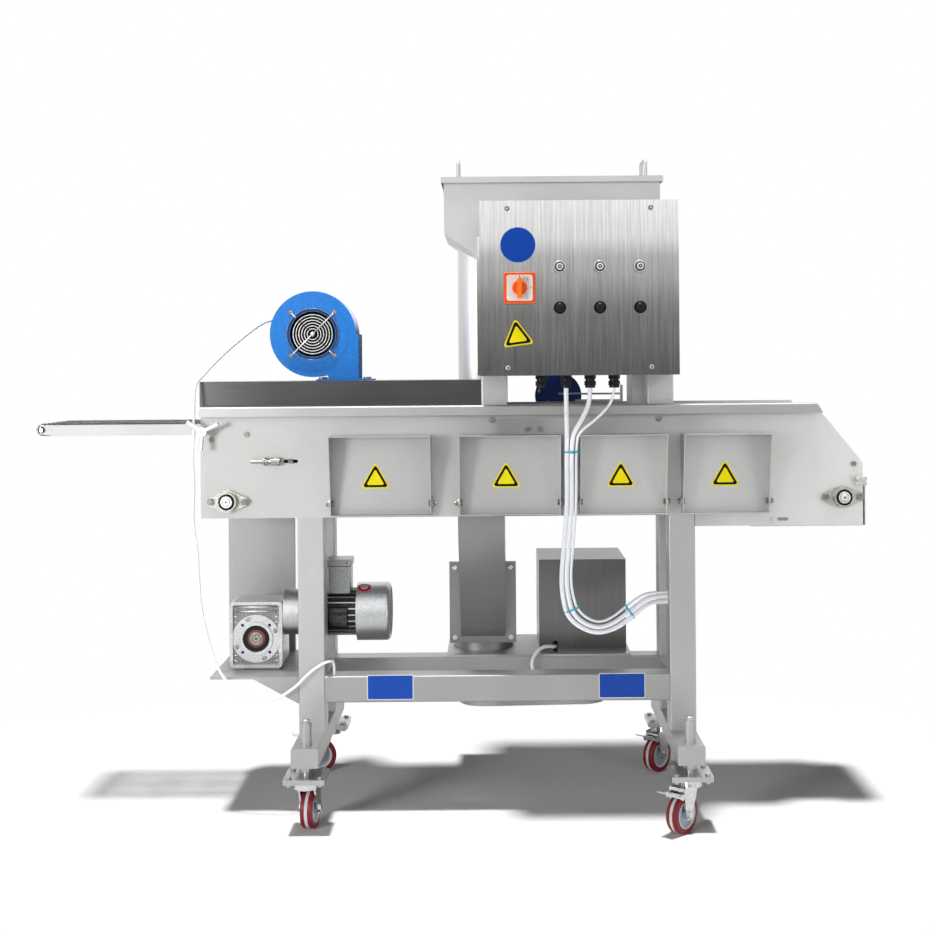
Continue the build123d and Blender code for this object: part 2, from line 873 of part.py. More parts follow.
sprocket_root = sprocket_radius - sprocket_tooth
belt_sprocket = toothed_disc(sprocket_radius, sprocket_root, sprocket_teeth, sprocket_width)
drive_chain_radius = chain_pitch / (2 * math.sin(math.pi / chain_teeth_drive))
motor_chain_radius = chain_pitch / (2 * math.sin(math.pi / chain_teeth_motor))
chain_y = back_y + chain_setback
ring_reach = bearing_boss + ring_proud


def belt_shaft(x, front_end, back_end):
    """Shaft across the body at x with belt sprockets and bearing rings, lying along Y."""
    with BuildPart() as shaft:
        with BuildSketch(from_front(back_end)):
            with Locations((x, shaft_z)):
                Circle(shaft_radius)
        extrude(amount=back_end - front_end)
        for y in (front_y, back_y + ring_reach):
            with BuildSketch(from_front(y)):
                with Locations((x, shaft_z)):
                    Circle(inner_ring_radius)
            extrude(amount=ring_reach)
        for index in range(sprocket_count):
            y = middle_y + sprocket_width / 2 + (index - (sprocket_count - 1) / 2) * sprocket_pitch
            add(Pos(x, y, shaft_z) * to_front * belt_sprocket)
    return shaft.part


with BuildPart() as drive_shaft:
    add(belt_shaft(drive_x, front_y - ring_reach - shaft_proud, chain_y + chain_width))
    add(
        Pos(drive_x, chain_y + chain_width / 2, shaft_z)
        * to_front
        * toothed_disc(
            drive_chain_radius,
            drive_chain_radius - chain_tooth,
            chain_teeth_drive,
            chain_width,
        )
    )
drive_shaft.part.label = "drive_shaft"
export_step(drive_shaft.part, "parts/drive_shaft.step")

tail_shaft = belt_shaft(tail_x, front_y - ring_reach - shaft_proud, back_y + ring_reach + shaft_proud)
tail_shaft.label = "tail_shaft"
export_step(tail_shaft, "parts/tail_shaft.step")

with BuildPart() as nose_roller:
    with BuildSketch(from_front(belt_y[1])):
        with Locations((nose_x, nose_z)):
            Circle(nose_radius)
    extrude(amount=belt_width)
    with BuildSketch(from_front(nose_plate_y[1] + plate + axle_proud)):
        with Locations((nose_x, nose_z)):
            Circle(nose_axle_radius)
    extrude(amount=nose_plate_y[1] - nose_plate_y[0] + plate + 2 * axle_proud)
nose_roller.part.label = "nose_roller"
export_step(nose_roller.part, "parts/nose_roller.step")

# Flange bearings at the four shaft ends
with BuildPart() as bearing_housing:
    with BuildSketch():
        Circle(bearing_height / 2)
        with Locations((-bearing_pitch / 2, 0), (bearing_pitch / 2, 0)):
            Circle((bearing_length - bearing_pitch) / 2)
        make_hull()
    extrude(amount=bearing_flange)
    with BuildSketch(Plane.XY.offset(bearing_flange)):
        Circle(bearing_boss_radius)
    extrude(amount=bearing_boss - bearing_flange, taper=bearing_taper)
    with BuildSketch():
        Circle(inner_ring_radius + running_gap)
        with Locations((-bearing_pitch / 2, 0), (bearing_pitch / 2, 0)):
            Circle(bearing_bolt_radius + running_gap)
    extrude(amount=bearing_boss, mode=Mode.SUBTRACT)

bearing_seats = []
for x in (drive_x, tail_x):
    bearing_seats.append(Pos(x, front_y, shaft_z) * to_front)
    bearing_seats.append(Pos(x, back_y, shaft_z) * to_back)
export_group("bearing_housings", [seat * bearing_housing.part for seat in bearing_seats])

# Places of the blow-off hood and of the blower's foot on it
hood_y = (front_y + hood_inset, back_y - hood_inset)
scroll_y = (front_y + scroll_setback, front_y + scroll_setback + scroll_depth)
neck_mid_x = (neck_left + neck_right) / 2
scroll_mid_y = (scroll_y[0] + scroll_y[1]) / 2
foot_z = hood_top_z + foot_sheet
foot_bolts = [(x, y) for x in foot_bolt_x for y in (scroll_y[0] + foot_bolt_inset, scroll_y[1] - foot_bolt_inset)]

# Fasteners: bearing, door, spacer, panel and blower bolts, and the belt's take-up screw
bearing_bolt = hex_bolt(bearing_bolt_radius, bearing_flange + plate, bearing_bolt_across, bearing_bolt_head)
panel_bolt = hex_bolt(bolt_radius, plate, bolt_across, bolt_head)
door_grip = sheet + seat_gap + ear_gap + plate
with BuildPart() as door_bolt:
    add(hex_bolt(bolt_radius, door_grip + nut_height + thread_proud, bolt_across, bolt_head))
    with BuildSketch(Plane.XY.offset(-door_grip)):
        RegularPolygon(bolt_across / 2, 6, major_radius=False)
    extrude(amount=-nut_height)

fasteners = []
for seat in bearing_seats:
    for side in (-1, 1):
        fasteners.append(seat * Pos(side * bearing_pitch / 2, 0, bearing_flange) * bearing_bolt)
for x, z in spacer_places:
    fasteners.append(Pos(x, front_y, z) * to_front * panel_bolt)
    fasteners.append(Pos(x, back_y, z) * to_back * panel_bolt)
for x, z in panel_bolts:
    fasteners.append(Pos(x, front_y, z) * to_front * panel_bolt)
for left, width in door_edges:
    fasteners.append(Pos(left + sheet + seat_gap, pivot_y, door_pivot_z) * to_right * door_bolt.part)
    fasteners.append(Pos(left + width - sheet - seat_gap, pivot_y, door_pivot_z) * to_left * door_bolt.part)

foot_bolt = hex_bolt(bolt_radius, foot_sheet + sheet, bolt_across, bolt_head)
fasteners.extend(Pos(x, y, foot_z) * foot_bolt for x, y in foot_bolts)

take_up_y = front_y - take_up_standoff
with BuildPart() as take_up_lug:
    with BuildSketch(Plane.YZ.offset(take_up_lug_x)):
        with Locations((front_y - take_up_standoff / 2, take_up_z)):
            Rectangle(take_up_standoff, 2 * take_up_round)
        with Locations((take_up_y, take_up_z)):
            Circle(take_up_round)
            Circle(bolt_hole, mode=Mode.SUBTRACT)
    extrude(amount=plate)
with BuildPart() as take_up_screw:
    add(rod((take_up_rod[0], take_up_y, take_up_z), (take_up_rod[1], take_up_y, take_up_z), bolt_radius))
    for x in (take_up_lug_x - nut_height - seat_gap, take_up_lug_x + plate + seat_gap):
        with BuildSketch(Plane.YZ.offset(x)):
            with Locations((take_up_y, take_up_z)):
                RegularPolygon(bolt_across / 2, 6, major_radius=False)
        extrude(amount=nut_height)
with BuildPart() as take_up_block:
    with BuildSketch(Plane.YZ.offset(take_up_rod[1])):
        with Locations((front_y - take_up_standoff / 2, take_up_z)):
            Rectangle(take_up_standoff, 2 * take_up_round)
        with Locations((take_up_y, take_up_z)):
            Circle(take_up_round)
    extrude(amount=take_up_block_length)
fasteners.extend([take_up_lug.part, take_up_screw.part, take_up_block.part])
take_up_bolt_x = (take_up_slot[0] + take_up_slot[1]) / 2
fasteners.append(Pos(take_up_bolt_x, front_y, take_up_z) * to_front * panel_bolt)
export_group("fasteners", fasteners)

# Three-armed clamp handle on its stud, and the end tray with its star knob
with BuildPart() as clamp_handle:
    with BuildSketch(Plane.XY.offset(-nose_inset + seat_gap)):
        Circle(clamp_stud)
    extrude(amount=nose_inset - seat_gap + clamp_standoff)
    with BuildSketch(Plane.XY.offset(seat_gap)):
        Circle(clamp_collar)
    extrude(amount=clamp_standoff - seat_gap)
    with BuildSketch(Plane.XY.offset(clamp_standoff - clamp_collar)):
        Circle(clamp_hub)
    extrude(amount=2 * clamp_collar)
    for turn in clamp_turns:
        tip = Vector(clamp_arm, 0, clamp_rise).rotate(Axis.Z, turn)
        add(rod((0, 0, clamp_standoff), (tip.X, tip.Y, clamp_standoff + tip.Z), clamp_arm_radius))
clamp_handle_part = Pos(clamp_x, front_y, clamp_z) * to_front * clamp_handle.part
clamp_handle_part.label = "clamp_handle"
export_step(clamp_handle_part, "parts/clamp_handle.step")

tray_z = low_z - seat_gap
flange_x = body_right + tray_flange_gap
tray_tab_y = front_y - tray_tab_gap
with BuildPart() as end_tray:
    with BuildSketch(from_front(back_y)):
        with BuildLine():
            Polyline(
                (tray_left, tray_z),
                (tray_left, tray_z - sheet),
                (flange_x + sheet, tray_z - sheet),
                (flange_x + sheet, tray_flange_z),
                (flange_x, tray_flange_z),
                (flange_x, tray_z),
                close=True,
            )
        make_face()
    extrude(amount=body_width)
    with BuildSketch(from_front(tray_tab_y)):
        with Locations(((tray_knob_x - tray_tab + flange_x + sheet) / 2, tray_knob_z)):
            Rectangle(flange_x + sheet - tray_knob_x + tray_tab, 2 * tray_tab)
        with Locations((tray_knob_x, tray_knob_z)):
            Circle(bolt_hole, mode=Mode.SUBTRACT)
    extrude(amount=sheet)
    with BuildSketch(Plane.XY.offset(tray_knob_z - tray_tab)):
        with Locations((flange_x + sheet / 2, front_y - (tray_tab_gap + sheet) / 2)):
            Rectangle(sheet, tray_tab_gap + sheet)
    extrude(amount=tray_flange_z - tray_knob_z + tray_tab)
    for y in (inner_y[0] + seat_gap, inner_y[1] - seat_gap - sheet):
        with BuildSketch(from_front(y + sheet)):
            with Locations((tray_bolt_x, (tray_z + tray_slot_z + tray_tab) / 2)):
                Rectangle(2 * tray_tab, tray_slot_z + tray_tab - tray_z)
        extrude(amount=sheet)
    for y, seat in ((front_y - seat_gap, to_front), (back_y + seat_gap, to_back)):
        reach = plate + 2 * seat_gap + sheet
        add(Pos(tray_bolt_x, y, tray_slot_z) * seat * hex_bolt(bolt_radius, reach, bolt_across, bolt_head))
end_tray.part.label = "end_tray"
export_step(end_tray.part, "parts/end_tray.step")

with BuildPart() as tray_knob:
    with BuildSketch():
        Circle(knob_core)
        with PolarLocations(knob_core, knob_lobes, start_angle=45):
            Circle(knob_lobe)
    extrude(amount=knob_depth)
    fillet(tray_knob.faces().sort_by(Axis.Z)[-1].edges(), knob_edge)
    with BuildSketch():
        Circle(bolt_radius)
    extrude(amount=-(sheet + seat_gap - tray_screw_short))
tray_knob_part = Pos(tray_knob_x, tray_tab_y - sheet - seat_gap, tray_knob_z) * to_front * tray_knob.part
tray_knob_part.label = "tray_knob"
export_step(tray_knob_part, "parts/tray_knob.step")

# Blow-off hood: a box without a floor whose flanges lie on the rims, with a slot for the fan's neck
with BuildPart() as blow_off_hood:
    with BuildSketch(Plane.XY.offset(rim_z)):
        with Locations(((hood_left + hood_right) / 2, middle_y)):
            Rectangle(hood_right - hood_left, hood_y[1] - hood_y[0])
    extrude(amount=hood_top_z - rim_z)
    with BuildSketch(Plane.XY.offset(rim_z)):
        with Locations(((hood_left + hood_right) / 2, middle_y)):
            Rectangle(hood_right - hood_left - 2 * sheet, hood_y[1] - hood_y[0] - 2 * sheet)
    extrude(amount=hood_top_z - rim_z - sheet, mode=Mode.SUBTRACT)
    with BuildSketch(Plane.XY.offset(rim_z)):
        for outer, wall in ((front_y, hood_y[0] + sheet), (back_y, hood_y[1] - sheet)):
            with Locations(((body_left + hood_right) / 2, (outer + wall) / 2)):
                Rectangle(hood_right - body_left, abs(outer - wall))
    extrude(amount=sheet)
    with BuildSketch(Plane.XY.offset(hood_top_z)):
        with Locations((neck_mid_x, scroll_mid_y)):
            Rectangle(neck_right - neck_left - 2 * sheet, scroll_depth - 2 * sheet)
        with Locations(*foot_bolts):
            Circle(bolt_hole)
    extrude(amount=-sheet, mode=Mode.SUBTRACT)
blow_off_hood.part.label = "blow_off_hood"
export_step(blow_off_hood.part, "parts/blow_off_hood.step")

# Blower: a scroll with a straight neck down to its foot, an inlet grille, and a fan on the motor
motor_face_y = scroll_y[1]


def scroll_section(shrink):
    """Scroll and neck seen from the front, smaller by shrink all round, in the active sketch."""
    with Locations((scroll_x, scroll_z)):
        Circle(scroll_radius - shrink)
    with Locations((neck_mid_x, (foot_z + scroll_z) / 2)):
        Rectangle(neck_right - neck_left - 2 * shrink, scroll_z - foot_z)


def grille_ring(radius):
    """One wire ring of the inlet grille, flat."""
    with BuildSketch() as wire:
        Circle(radius)
        Circle(radius - grille_wire, mode=Mode.SUBTRACT)
    return wire.sketch


with BuildPart() as scroll:
    with BuildSketch(from_front(scroll_y[1])):
        scroll_section(0)
    extrude(amount=scroll_depth)
    with BuildSketch(from_front(scroll_y[1] - sheet)):
        scroll_section(sheet)
    extrude(amount=scroll_depth - 2 * sheet, mode=Mode.SUBTRACT)
    for radius, depth in ((scroll_rim, scroll_rim_depth), (inlet_ring_radius, inlet_ring_depth)):
        with BuildSketch(from_front(scroll_y[0])):
            with Locations((scroll_x, scroll_z)):
                Circle(radius)
        extrude(amount=depth)
    with BuildSketch(from_front(scroll_y[0] + sheet)):
        with Locations((scroll_x, scroll_z)):
            Circle(inlet_radius)
    extrude(amount=sheet + inlet_ring_depth, mode=Mode.SUBTRACT)
    with BuildSketch(from_front(scroll_y[0])):
        with Locations((scroll_x, scroll_z)):
            for index in range(grille_rings):
                radius = inlet_radius - (index + 1) * grille_pitch
                add(grille_ring(radius))
            for turn in (45, 135):
                Rectangle(2 * inlet_radius + 2 * grille_wire, grille_wire, rotation=turn)
    extrude(amount=grille_wire)
    with BuildSketch(from_front(scroll_y[1])):
        with Locations((scroll_x, scroll_z)):
            Circle(fan_shaft_radius + seat_gap)
    extrude(amount=sheet, mode=Mode.SUBTRACT)
    with BuildSketch(Plane.XY.offset(hood_top_z)):
        with Locations(((foot_left + foot_right) / 2, scroll_mid_y)):
            Rectangle(foot_right - foot_left, scroll_depth)
        with Locations((neck_mid_x, scroll_mid_y)):
            Rectangle(neck_right - neck_left - 2 * sheet, scroll_depth - 2 * sheet, mode=Mode.SUBTRACT)
        with Locations(*foot_bolts):
            Circle(bolt_hole, mode=Mode.SUBTRACT)
    extrude(amount=foot_sheet)

with BuildPart() as fan_motor:
    with BuildSketch(from_front(motor_face_y + fan_motor_length)):
        with Locations((scroll_x, scroll_z)):
            Circle(fan_motor_radius)
    extrude(amount=fan_motor_length)
    fillet(fan_motor.faces().sort_by(Axis.Y)[-1].edges(), fan_motor_edge)
    with BuildSketch(from_front(motor_face_y + fan_shaft_depth)):
        with Locations((scroll_x, scroll_z)):
            Circle(fan_shaft_radius + running_gap)
    extrude(amount=fan_shaft_depth, mode=Mode.SUBTRACT)
    with BuildSketch(from_front(motor_face_y + fan_box_depths[1])):
        with Locations((sum(fan_box_x) / 2, sum(fan_box_z) / 2)):
            Rectangle(fan_box_x[1] - fan_box_x[0], fan_box_z[1] - fan_box_z[0])
    extrude(amount=fan_box_depths[1] - fan_box_depths[0])
export_group("blower_housing", [scroll.part, fan_motor.part])

fan_y = (scroll_y[0] + fan_clearance, scroll_y[1] - fan_clearance)
with BuildPart() as blower_impeller:
    with BuildSketch(from_front(fan_y[1])):
        with Locations((scroll_x, scroll_z)):
            Circle(fan_radius)
    extrude(amount=sheet)
    with BuildSketch(from_front(fan_y[0] + sheet)):
        with Locations((scroll_x, scroll_z)):
            Circle(fan_radius)
            Circle(fan_radius - blade_depth, mode=Mode.SUBTRACT)
    extrude(amount=sheet)
    with BuildSketch(from_front(fan_y[1])):
        with Locations((scroll_x, scroll_z)):
            with PolarLocations(fan_radius - blade_depth / 2, fan_blades):
                Rectangle(blade_depth - sheet, blade_sheet, rotation=blade_lean)
    extrude(amount=fan_y[1] - fan_y[0])
    with BuildSketch(from_front(motor_face_y + fan_shaft_depth - seat_gap)):
        with Locations((scroll_x, scroll_z)):
            Circle(fan_shaft_radius)
    extrude(amount=motor_face_y + fan_shaft_depth - seat_gap - fan_y[0])
    with BuildSketch(from_front(fan_y[1])):
        with Locations((scroll_x, scroll_z)):
            Circle(fan_hub_radius)
    extrude(amount=fan_hub_length)
blower_impeller.part.label = "blower_impeller"
export_step(blower_impeller.part, "parts/blower_impeller.step")

# Control box with its cover, button bezels, isolator and cable glands
box_back_y = front_y
box_front_y = box_back_y - box_depth
box_right = box_left + box_width
box_top_z = box_bottom_z + box_height
box_centre = (box_left + box_width / 2, box_bottom_z + box_height / 2)
button_places = [
    (column_x + column * column_pitch, z) for z in (upper_row_z, lower_row_z) for column in (1, 2, 3)
]
screw_places = [
    (x, z)
    for x in (box_left + cover_screw_inset[0], box_right - cover_screw_inset[0])
    for z in (box_bottom_z + cover_screw_inset[1], box_top_z - cover_screw_inset[1])
]
gland_y = box_front_y + gland_setback

with BuildPart() as control_box:
    with BuildSketch(from_front(box_back_y)):
        with Locations(box_centre):
            Rectangle(box_width, box_height)
    extrude(amount=box_depth)
    with BuildSketch(from_front(box_back_y - sheet)):
        with Locations(box_centre):
            Rectangle(box_width - 2 * sheet, box_height - 2 * sheet)
    extrude(amount=box_depth, mode=Mode.SUBTRACT)
mounting_plate = block(back_plate, (box_back_y, box_back_y + plate), (box_bottom_z, back_plate_top_z))
export_group("control_box", [control_box.part, mounting_plate])

with BuildPart() as cover_plate:
    with BuildSketch(from_front(box_front_y)):
        with Locations(box_centre):
            Rectangle(box_width, box_height)
        with Locations(*button_places):
            Circle(barrel_radius + running_gap, mode=Mode.SUBTRACT)
        with Locations((column_x, isolator_z)):
            Circle(knob_shaft_radius + seat_gap, mode=Mode.SUBTRACT)
    extrude(amount=sheet)
    with BuildSketch(from_front(box_front_y + cover_fold)):
        with Locations(box_centre):
            Rectangle(box_width - 2 * sheet - 2 * seat_gap, box_height - 2 * sheet - 2 * seat_gap)
            Rectangle(
                box_width - 4 * sheet - 2 * seat_gap,
                box_height - 4 * sheet - 2 * seat_gap,
                mode=Mode.SUBTRACT,
            )
    extrude(amount=cover_fold)
cover_y = box_front_y - sheet
with BuildPart() as cover_screw:
    with BuildSketch():
        Circle(cover_screw_radius)
    extrude(amount=cover_screw_head)
    fillet(cover_screw.faces().sort_by(Axis.Z)[-1].edges(), cover_screw_round)
cover_pieces = [cover_plate.part]
cover_pieces.extend(Pos(x, cover_y, z) * to_front * cover_screw.part for x, z in screw_places)
export_group("control_cover", cover_pieces)

with BuildPart() as bezel:
    with BuildSketch():
        Circle(bezel_radius)
    extrude(amount=bezel_height)
    chamfer(bezel.faces().sort_by(Axis.Z)[-1].edges(), bezel_chamfer)
    with BuildSketch():
        Circle(barrel_radius)
    extrude(amount=-barrel_length)
    with BuildSketch(Plane.XY.offset(bezel_height)):
        Circle(button_radius + seat_gap)
    extrude(amount=-(bezel_height + barrel_length - sheet), mode=Mode.SUBTRACT)

with BuildPart() as isolator_base:
    with BuildSketch():
        RectangleRounded(isolator_size, isolator_size, isolator_corner)
    extrude(amount=isolator_thickness)
    chamfer(isolator_base.faces().sort_by(Axis.Z)[-1].edges(), isolator_chamfer)
    with BuildSketch():
        Circle(knob_shaft_radius + running_gap)
    extrude(amount=isolator_thickness, mode=Mode.SUBTRACT)

with BuildPart() as cable_gland:
    depth = 0.0
    for length, round_radius in gland_stages:
        with BuildSketch(Plane.XY.offset(-depth)):
            if round_radius:
                Circle(round_radius)
            else:
                RegularPolygon(gland_radius, 6)
        extrude(amount=-length)
        depth += length

fittings = [Pos(x, cover_y, z) * to_front * bezel.part for x, z in button_places]
fittings.append(Pos(column_x, cover_y, isolator_z) * to_front * isolator_base.part)
fittings.extend(Pos(x, gland_y, box_bottom_z) * cable_gland.part for x in gland_x)
export_group("control_fittings", fittings)

with BuildPart() as button:
    with BuildSketch(Plane.XY.offset(-barrel_length + sheet + button_travel + seat_gap)):
        Circle(button_radius)
    extrude(amount=barrel_length - sheet - button_travel - seat_gap + bezel_height + button_proud)
    chamfer(button.faces().sort_by(Axis.Z)[-1].edges(), bezel_chamfer)
for number, (x, z) in enumerate(button_places, start=1):
    placed = Pos(x, cover_y, z) * to_front * button.part
    placed.label = f"button_{number}"
    export_step(placed, f"parts/button_{number}.step")

knob_seat_y = cover_y - isolator_thickness
with BuildPart() as switch_knob:
    with BuildSketch(Plane.XY.offset(seat_gap)):
        Circle(knob_radius)
    extrude(amount=knob_disc)
    with BuildSketch(Plane.XY.offset(seat_gap + knob_disc)):
        SlotOverall(2 * (knob_radius - knob_grip_inset), knob_grip_width, rotation=90)
    extrude(amount=knob_grip_height)
    with BuildSketch():
        Circle(knob_shaft_radius)
    extrude(amount=-isolator_thickness)
    with BuildSketch():
        Circle(knob_shaft_radius)
    extrude(amount=seat_gap)
switch_knob_part = Pos(column_x, knob_seat_y, isolator_z) * to_front * switch_knob.part
switch_knob_part.label = "switch_knob"
export_step(switch_knob_part, "parts/switch_knob.step")

# Hopper: upright walls over a sloped floor, gathered into the outlet above the belt; feeder beside it
hopper_y = (front_y + hopper_setback, front_y + hopper_setback + hopper_depth)
outlet_back_y = back_y - outlet_inset
hopper_slope = (hopper_knee_z - outlet_top_z) / (outlet_left - hopper_left)


def hopper_section(wall):
    """Hopper seen from the front, smaller by wall at its sides and floor, as a closed outline."""
    fall = wall * math.hypot(1, hopper_slope)
    with BuildLine() as outline:
        Polyline(
            (hopper_left + wall, hopper_top_z),
            (hopper_left + wall, hopper_knee_z + fall - wall * hopper_slope),
            (outlet_left + wall, outlet_top_z + fall - wall * hopper_slope),
            (outlet_left + wall, outlet_bottom_z),
            (outlet_right - wall, outlet_bottom_z),
            (outlet_right - wall, outlet_top_z),
            (hopper_right - wall, outlet_top_z + hopper_shoulder),
            (hopper_right - wall, hopper_top_z),
            close=True,
        )
    make_face(outline.edges())


def hopper_back_cut(wall):
    """Wedge behind the hopper's folded back wall, as a closed outline seen from the left."""
    with BuildLine() as outline:
        Polyline(
            (hopper_y[1] - wall + cut_margin, hopper_fold_z),
            (hopper_y[1] - wall, hopper_fold_z),
            (outlet_back_y - wall, outlet_top_z),
            (outlet_back_y - wall, outlet_bottom_z - cut_margin),
            (hopper_y[1] - wall + cut_margin, outlet_bottom_z - cut_margin),
            close=True,
        )
    make_face(outline.edges())


def hopper_body(wall):
    """Solid form of the hopper, smaller by wall all round."""
    with BuildPart() as body:
        with BuildSketch(from_front(hopper_y[1] - wall)):
            hopper_section(wall)
        extrude(amount=hopper_depth - 2 * wall)
        with BuildSketch(Plane.YZ.offset(hopper_left)):
            hopper_back_cut(wall)
        extrude(amount=hopper_right - hopper_left, mode=Mode.SUBTRACT)
    return body.part


with BuildPart() as hopper:
    add(hopper_body(0))
    add(hopper_body(sheet), mode=Mode.SUBTRACT)
    with BuildSketch(Plane.XY.offset(outlet_top_z)):
        with Locations((auger_x, auger_y)):
            Circle(elevator_radius + seat_gap)
    extrude(amount=hopper_knee_z - outlet_top_z, mode=Mode.SUBTRACT)

feeder_y = back_y + feeder_setback
with BuildPart() as feeder_motor:
    with BuildSketch(from_front(feeder_y + feeder_disc)):
        with Locations((feeder_x, feeder_z)):
            Circle(feeder_radius)
    extrude(amount=feeder_disc)
    with BuildSketch(from_front(feeder_y + feeder_disc + feeder_length)):
        with Locations((feeder_x, feeder_z)):
            Circle(feeder_radius - feeder_step)
    extrude(amount=feeder_length)
feeder_pieces = [hopper.part, feeder_motor.part]
feeder_pieces.append(block(feeder_plate_x, (back_y, feeder_y), (rim_z, rim_z + base_plate)))
feeder_post_x = (feeder_plate_x[1] - base_plate, feeder_plate_x[1])
feeder_pieces.append(block(feeder_post_x, (back_y, feeder_y), (rim_z + base_plate, feeder_post_z)))
feeder_rod_y = (back_y + feeder_y) / 2
feeder_rod_ends = [(x, feeder_rod_y, feeder_rod_z) for x in (feeder_x, feeder_post_x[0])]
feeder_pieces.append(rod(*feeder_rod_ends, feeder_rod_radius))
export_group("hopper_and_feeder", feeder_pieces)

lid_z = hopper_top_z + seat_gap
lid_size = (hopper_right - hopper_left + 2 * lid_overhang, hopper_depth + 2 * lid_overhang)
lid_centre = ((hopper_left + hopper_right) / 2, (hopper_y[0] + hopper_y[1]) / 2)
with BuildPart() as hopper_lid:
    with BuildSketch(Plane.XY.offset(lid_z - lid_skirt)):
        with Locations(lid_centre):
            Rectangle(*lid_size)
    extrude(amount=lid_skirt + sheet)
    with BuildSketch(Plane.XY.offset(lid_z - lid_skirt)):
        with Locations(lid_centre):
            Rectangle(lid_size[0] - 2 * sheet, lid_size[1] - 2 * sheet)
    extrude(amount=lid_skirt, mode=Mode.SUBTRACT)
    for x in handle_x:
        with BuildLine() as handle_path:
            FilletPolyline(
                (x, lid_centre[1] - handle_length / 2, lid_z),
                (x, lid_centre[1] - handle_length / 2, lid_z + handle_height),
                (x, lid_centre[1] + handle_length / 2, lid_z + handle_height),
                (x, lid_centre[1] + handle_length / 2, lid_z),
                radius=handle_bend,
            )
        with BuildSketch(Plane(origin=handle_path.line @ 0, z_dir=handle_path.line % 0)) as handle_section:
            Circle(handle_radius)
        sweep(handle_section.sketch, path=handle_path.line)
hopper_lid.part.label = "hopper_lid"
export_step(hopper_lid.part, "parts/hopper_lid.step")

# Elevator: transfer chute from the floor, housing and upright tube, with the auger inside
base_z = rail_bottom_z + tube + base_plate
housing_y = front_y + housing_setback
tube_bottom_z = base_z + round_base_height
housing_z = (tube_bottom_z, tube_bottom_z + housing_flange[1])
with BuildPart() as elevator_tube:
    with BuildSketch(Plane.XY.offset(base_z)):
        with Locations((auger_x, auger_y)):
            Circle(round_base_radius)
    extrude(amount=round_base_height)
    with BuildSketch(Plane.XY.offset(tube_bottom_z)):
        with Locations((auger_x, auger_y)):
            Circle(elevator_radius)
    extrude(amount=elevator_top_z - tube_bottom_z)
    with BuildSketch(Plane.XY.offset(tube_bottom_z)):
        with Locations((auger_x, (housing_y + auger_y) / 2)):
            Rectangle(2 * elevator_radius, auger_y - housing_y)
    extrude(amount=housing_flange[1])
    with BuildSketch(from_front(housing_y + flange_sheet)):
        with Locations((auger_x, (housing_z[0] + housing_z[1]) / 2)):
            Rectangle(housing_flange[0], housing_flange[1])
    extrude(amount=flange_sheet)
    with BuildSketch(Plane.XY.offset(tube_bottom_z)):
        with Locations((auger_x, auger_y)):
            Circle(elevator_radius - sheet)
    extrude(amount=elevator_top_z - tube_bottom_z, mode=Mode.SUBTRACT)
    with BuildSketch(from_front(auger_y)):
        with Locations((auger_x, (chute_end_z + chute_mouth_z) / 2)):
            Rectangle(chute_width - 2 * sheet, chute_mouth_z - chute_end_z - 2 * sheet)
    extrude(amount=auger_y - housing_y, mode=Mode.SUBTRACT)
    with BuildSketch(Plane.XY.offset(base_z)):
        with Locations((auger_x, auger_y)):
            Circle(auger_core + running_gap)
    extrude(amount=round_base_height, mode=Mode.SUBTRACT)


def chute_section(wall):
    """Transfer chute seen from the left, smaller by wall across its fall, as a closed outline."""
    front = front_y + chute_front + wall
    back = front_y + chute_back - wall
    fall = (chute_knee_z - chute_end_z) / (housing_y - front_y - chute_front)
    shift = wall * (math.hypot(1, fall) - fall)
    with BuildLine() as outline:
        Polyline(
            (front, floor_z),
            (front, chute_knee_z + shift),
            (housing_y, chute_end_z + wall * math.hypot(1, fall)),
            (housing_y, chute_mouth_z - wall * math.hypot(1, fall)),
            (back, chute_mouth_z + (housing_y - front_y - chute_back) * fall - shift),
            (back, floor_z),
            close=True,
        )
    make_face(outline.edges())


with BuildPart() as transfer_chute:
    with BuildSketch(Plane.YZ.offset(auger_x - chute_width / 2)):
        chute_section(0)
    extrude(amount=chute_width)
    with BuildSketch(Plane.YZ.offset(auger_x - chute_width / 2 + sheet)):
        chute_section(sheet)
    extrude(amount=chute_width - 2 * sheet, mode=Mode.SUBTRACT)
flange_bolts = [
    Pos(auger_x + x, housing_y, z) * to_front * hex_bolt(bolt_radius, flange_sheet, bolt_across, bolt_head)
    for x in (-flange_bolt_x, flange_bolt_x)
    for z in (housing_z[0] + flange_bolt_inset, housing_z[1] - flange_bolt_inset)
]
export_group("elevator_tube", [elevator_tube.part, transfer_chute.part] + flange_bolts)

auger_z = (base_z + seat_gap + round_base_height, elevator_top_z - auger_top_gap)
pulley_z = guard_bottom_z + pulley_lift
with BuildPart() as auger_shaft:
    with BuildSketch(Plane.XY.offset(pulley_z)):
        with Locations((auger_x, auger_y)):
            Circle(auger_core)
    extrude(amount=auger_z[1] - pulley_z)
    with BuildSketch(Plane.XY.offset(pulley_z)):
        with Locations((auger_x, auger_y)):
            Circle(pulley_radius)
    extrude(amount=pulley_width)
flight_width = auger_radius - auger_core
with BuildPart() as auger_flight:
    with BuildLine() as flight_path:
        Helix(auger_pitch, auger_z[1] - auger_z[0] - 2 * flight_margin, auger_core + flight_width / 2)
    with BuildSketch(Plane(origin=flight_path.line @ 0, x_dir=(1, 0, 0), z_dir=flight_path.line % 0)):
        Rectangle(flight_width, flight_sheet)
    sweep(path=flight_path.line, is_frenet=True)
flight = Pos(auger_x, auger_y, auger_z[0] + flight_margin) * auger_flight.part
export_group("elevator_auger", [auger_shaft.part, flight])

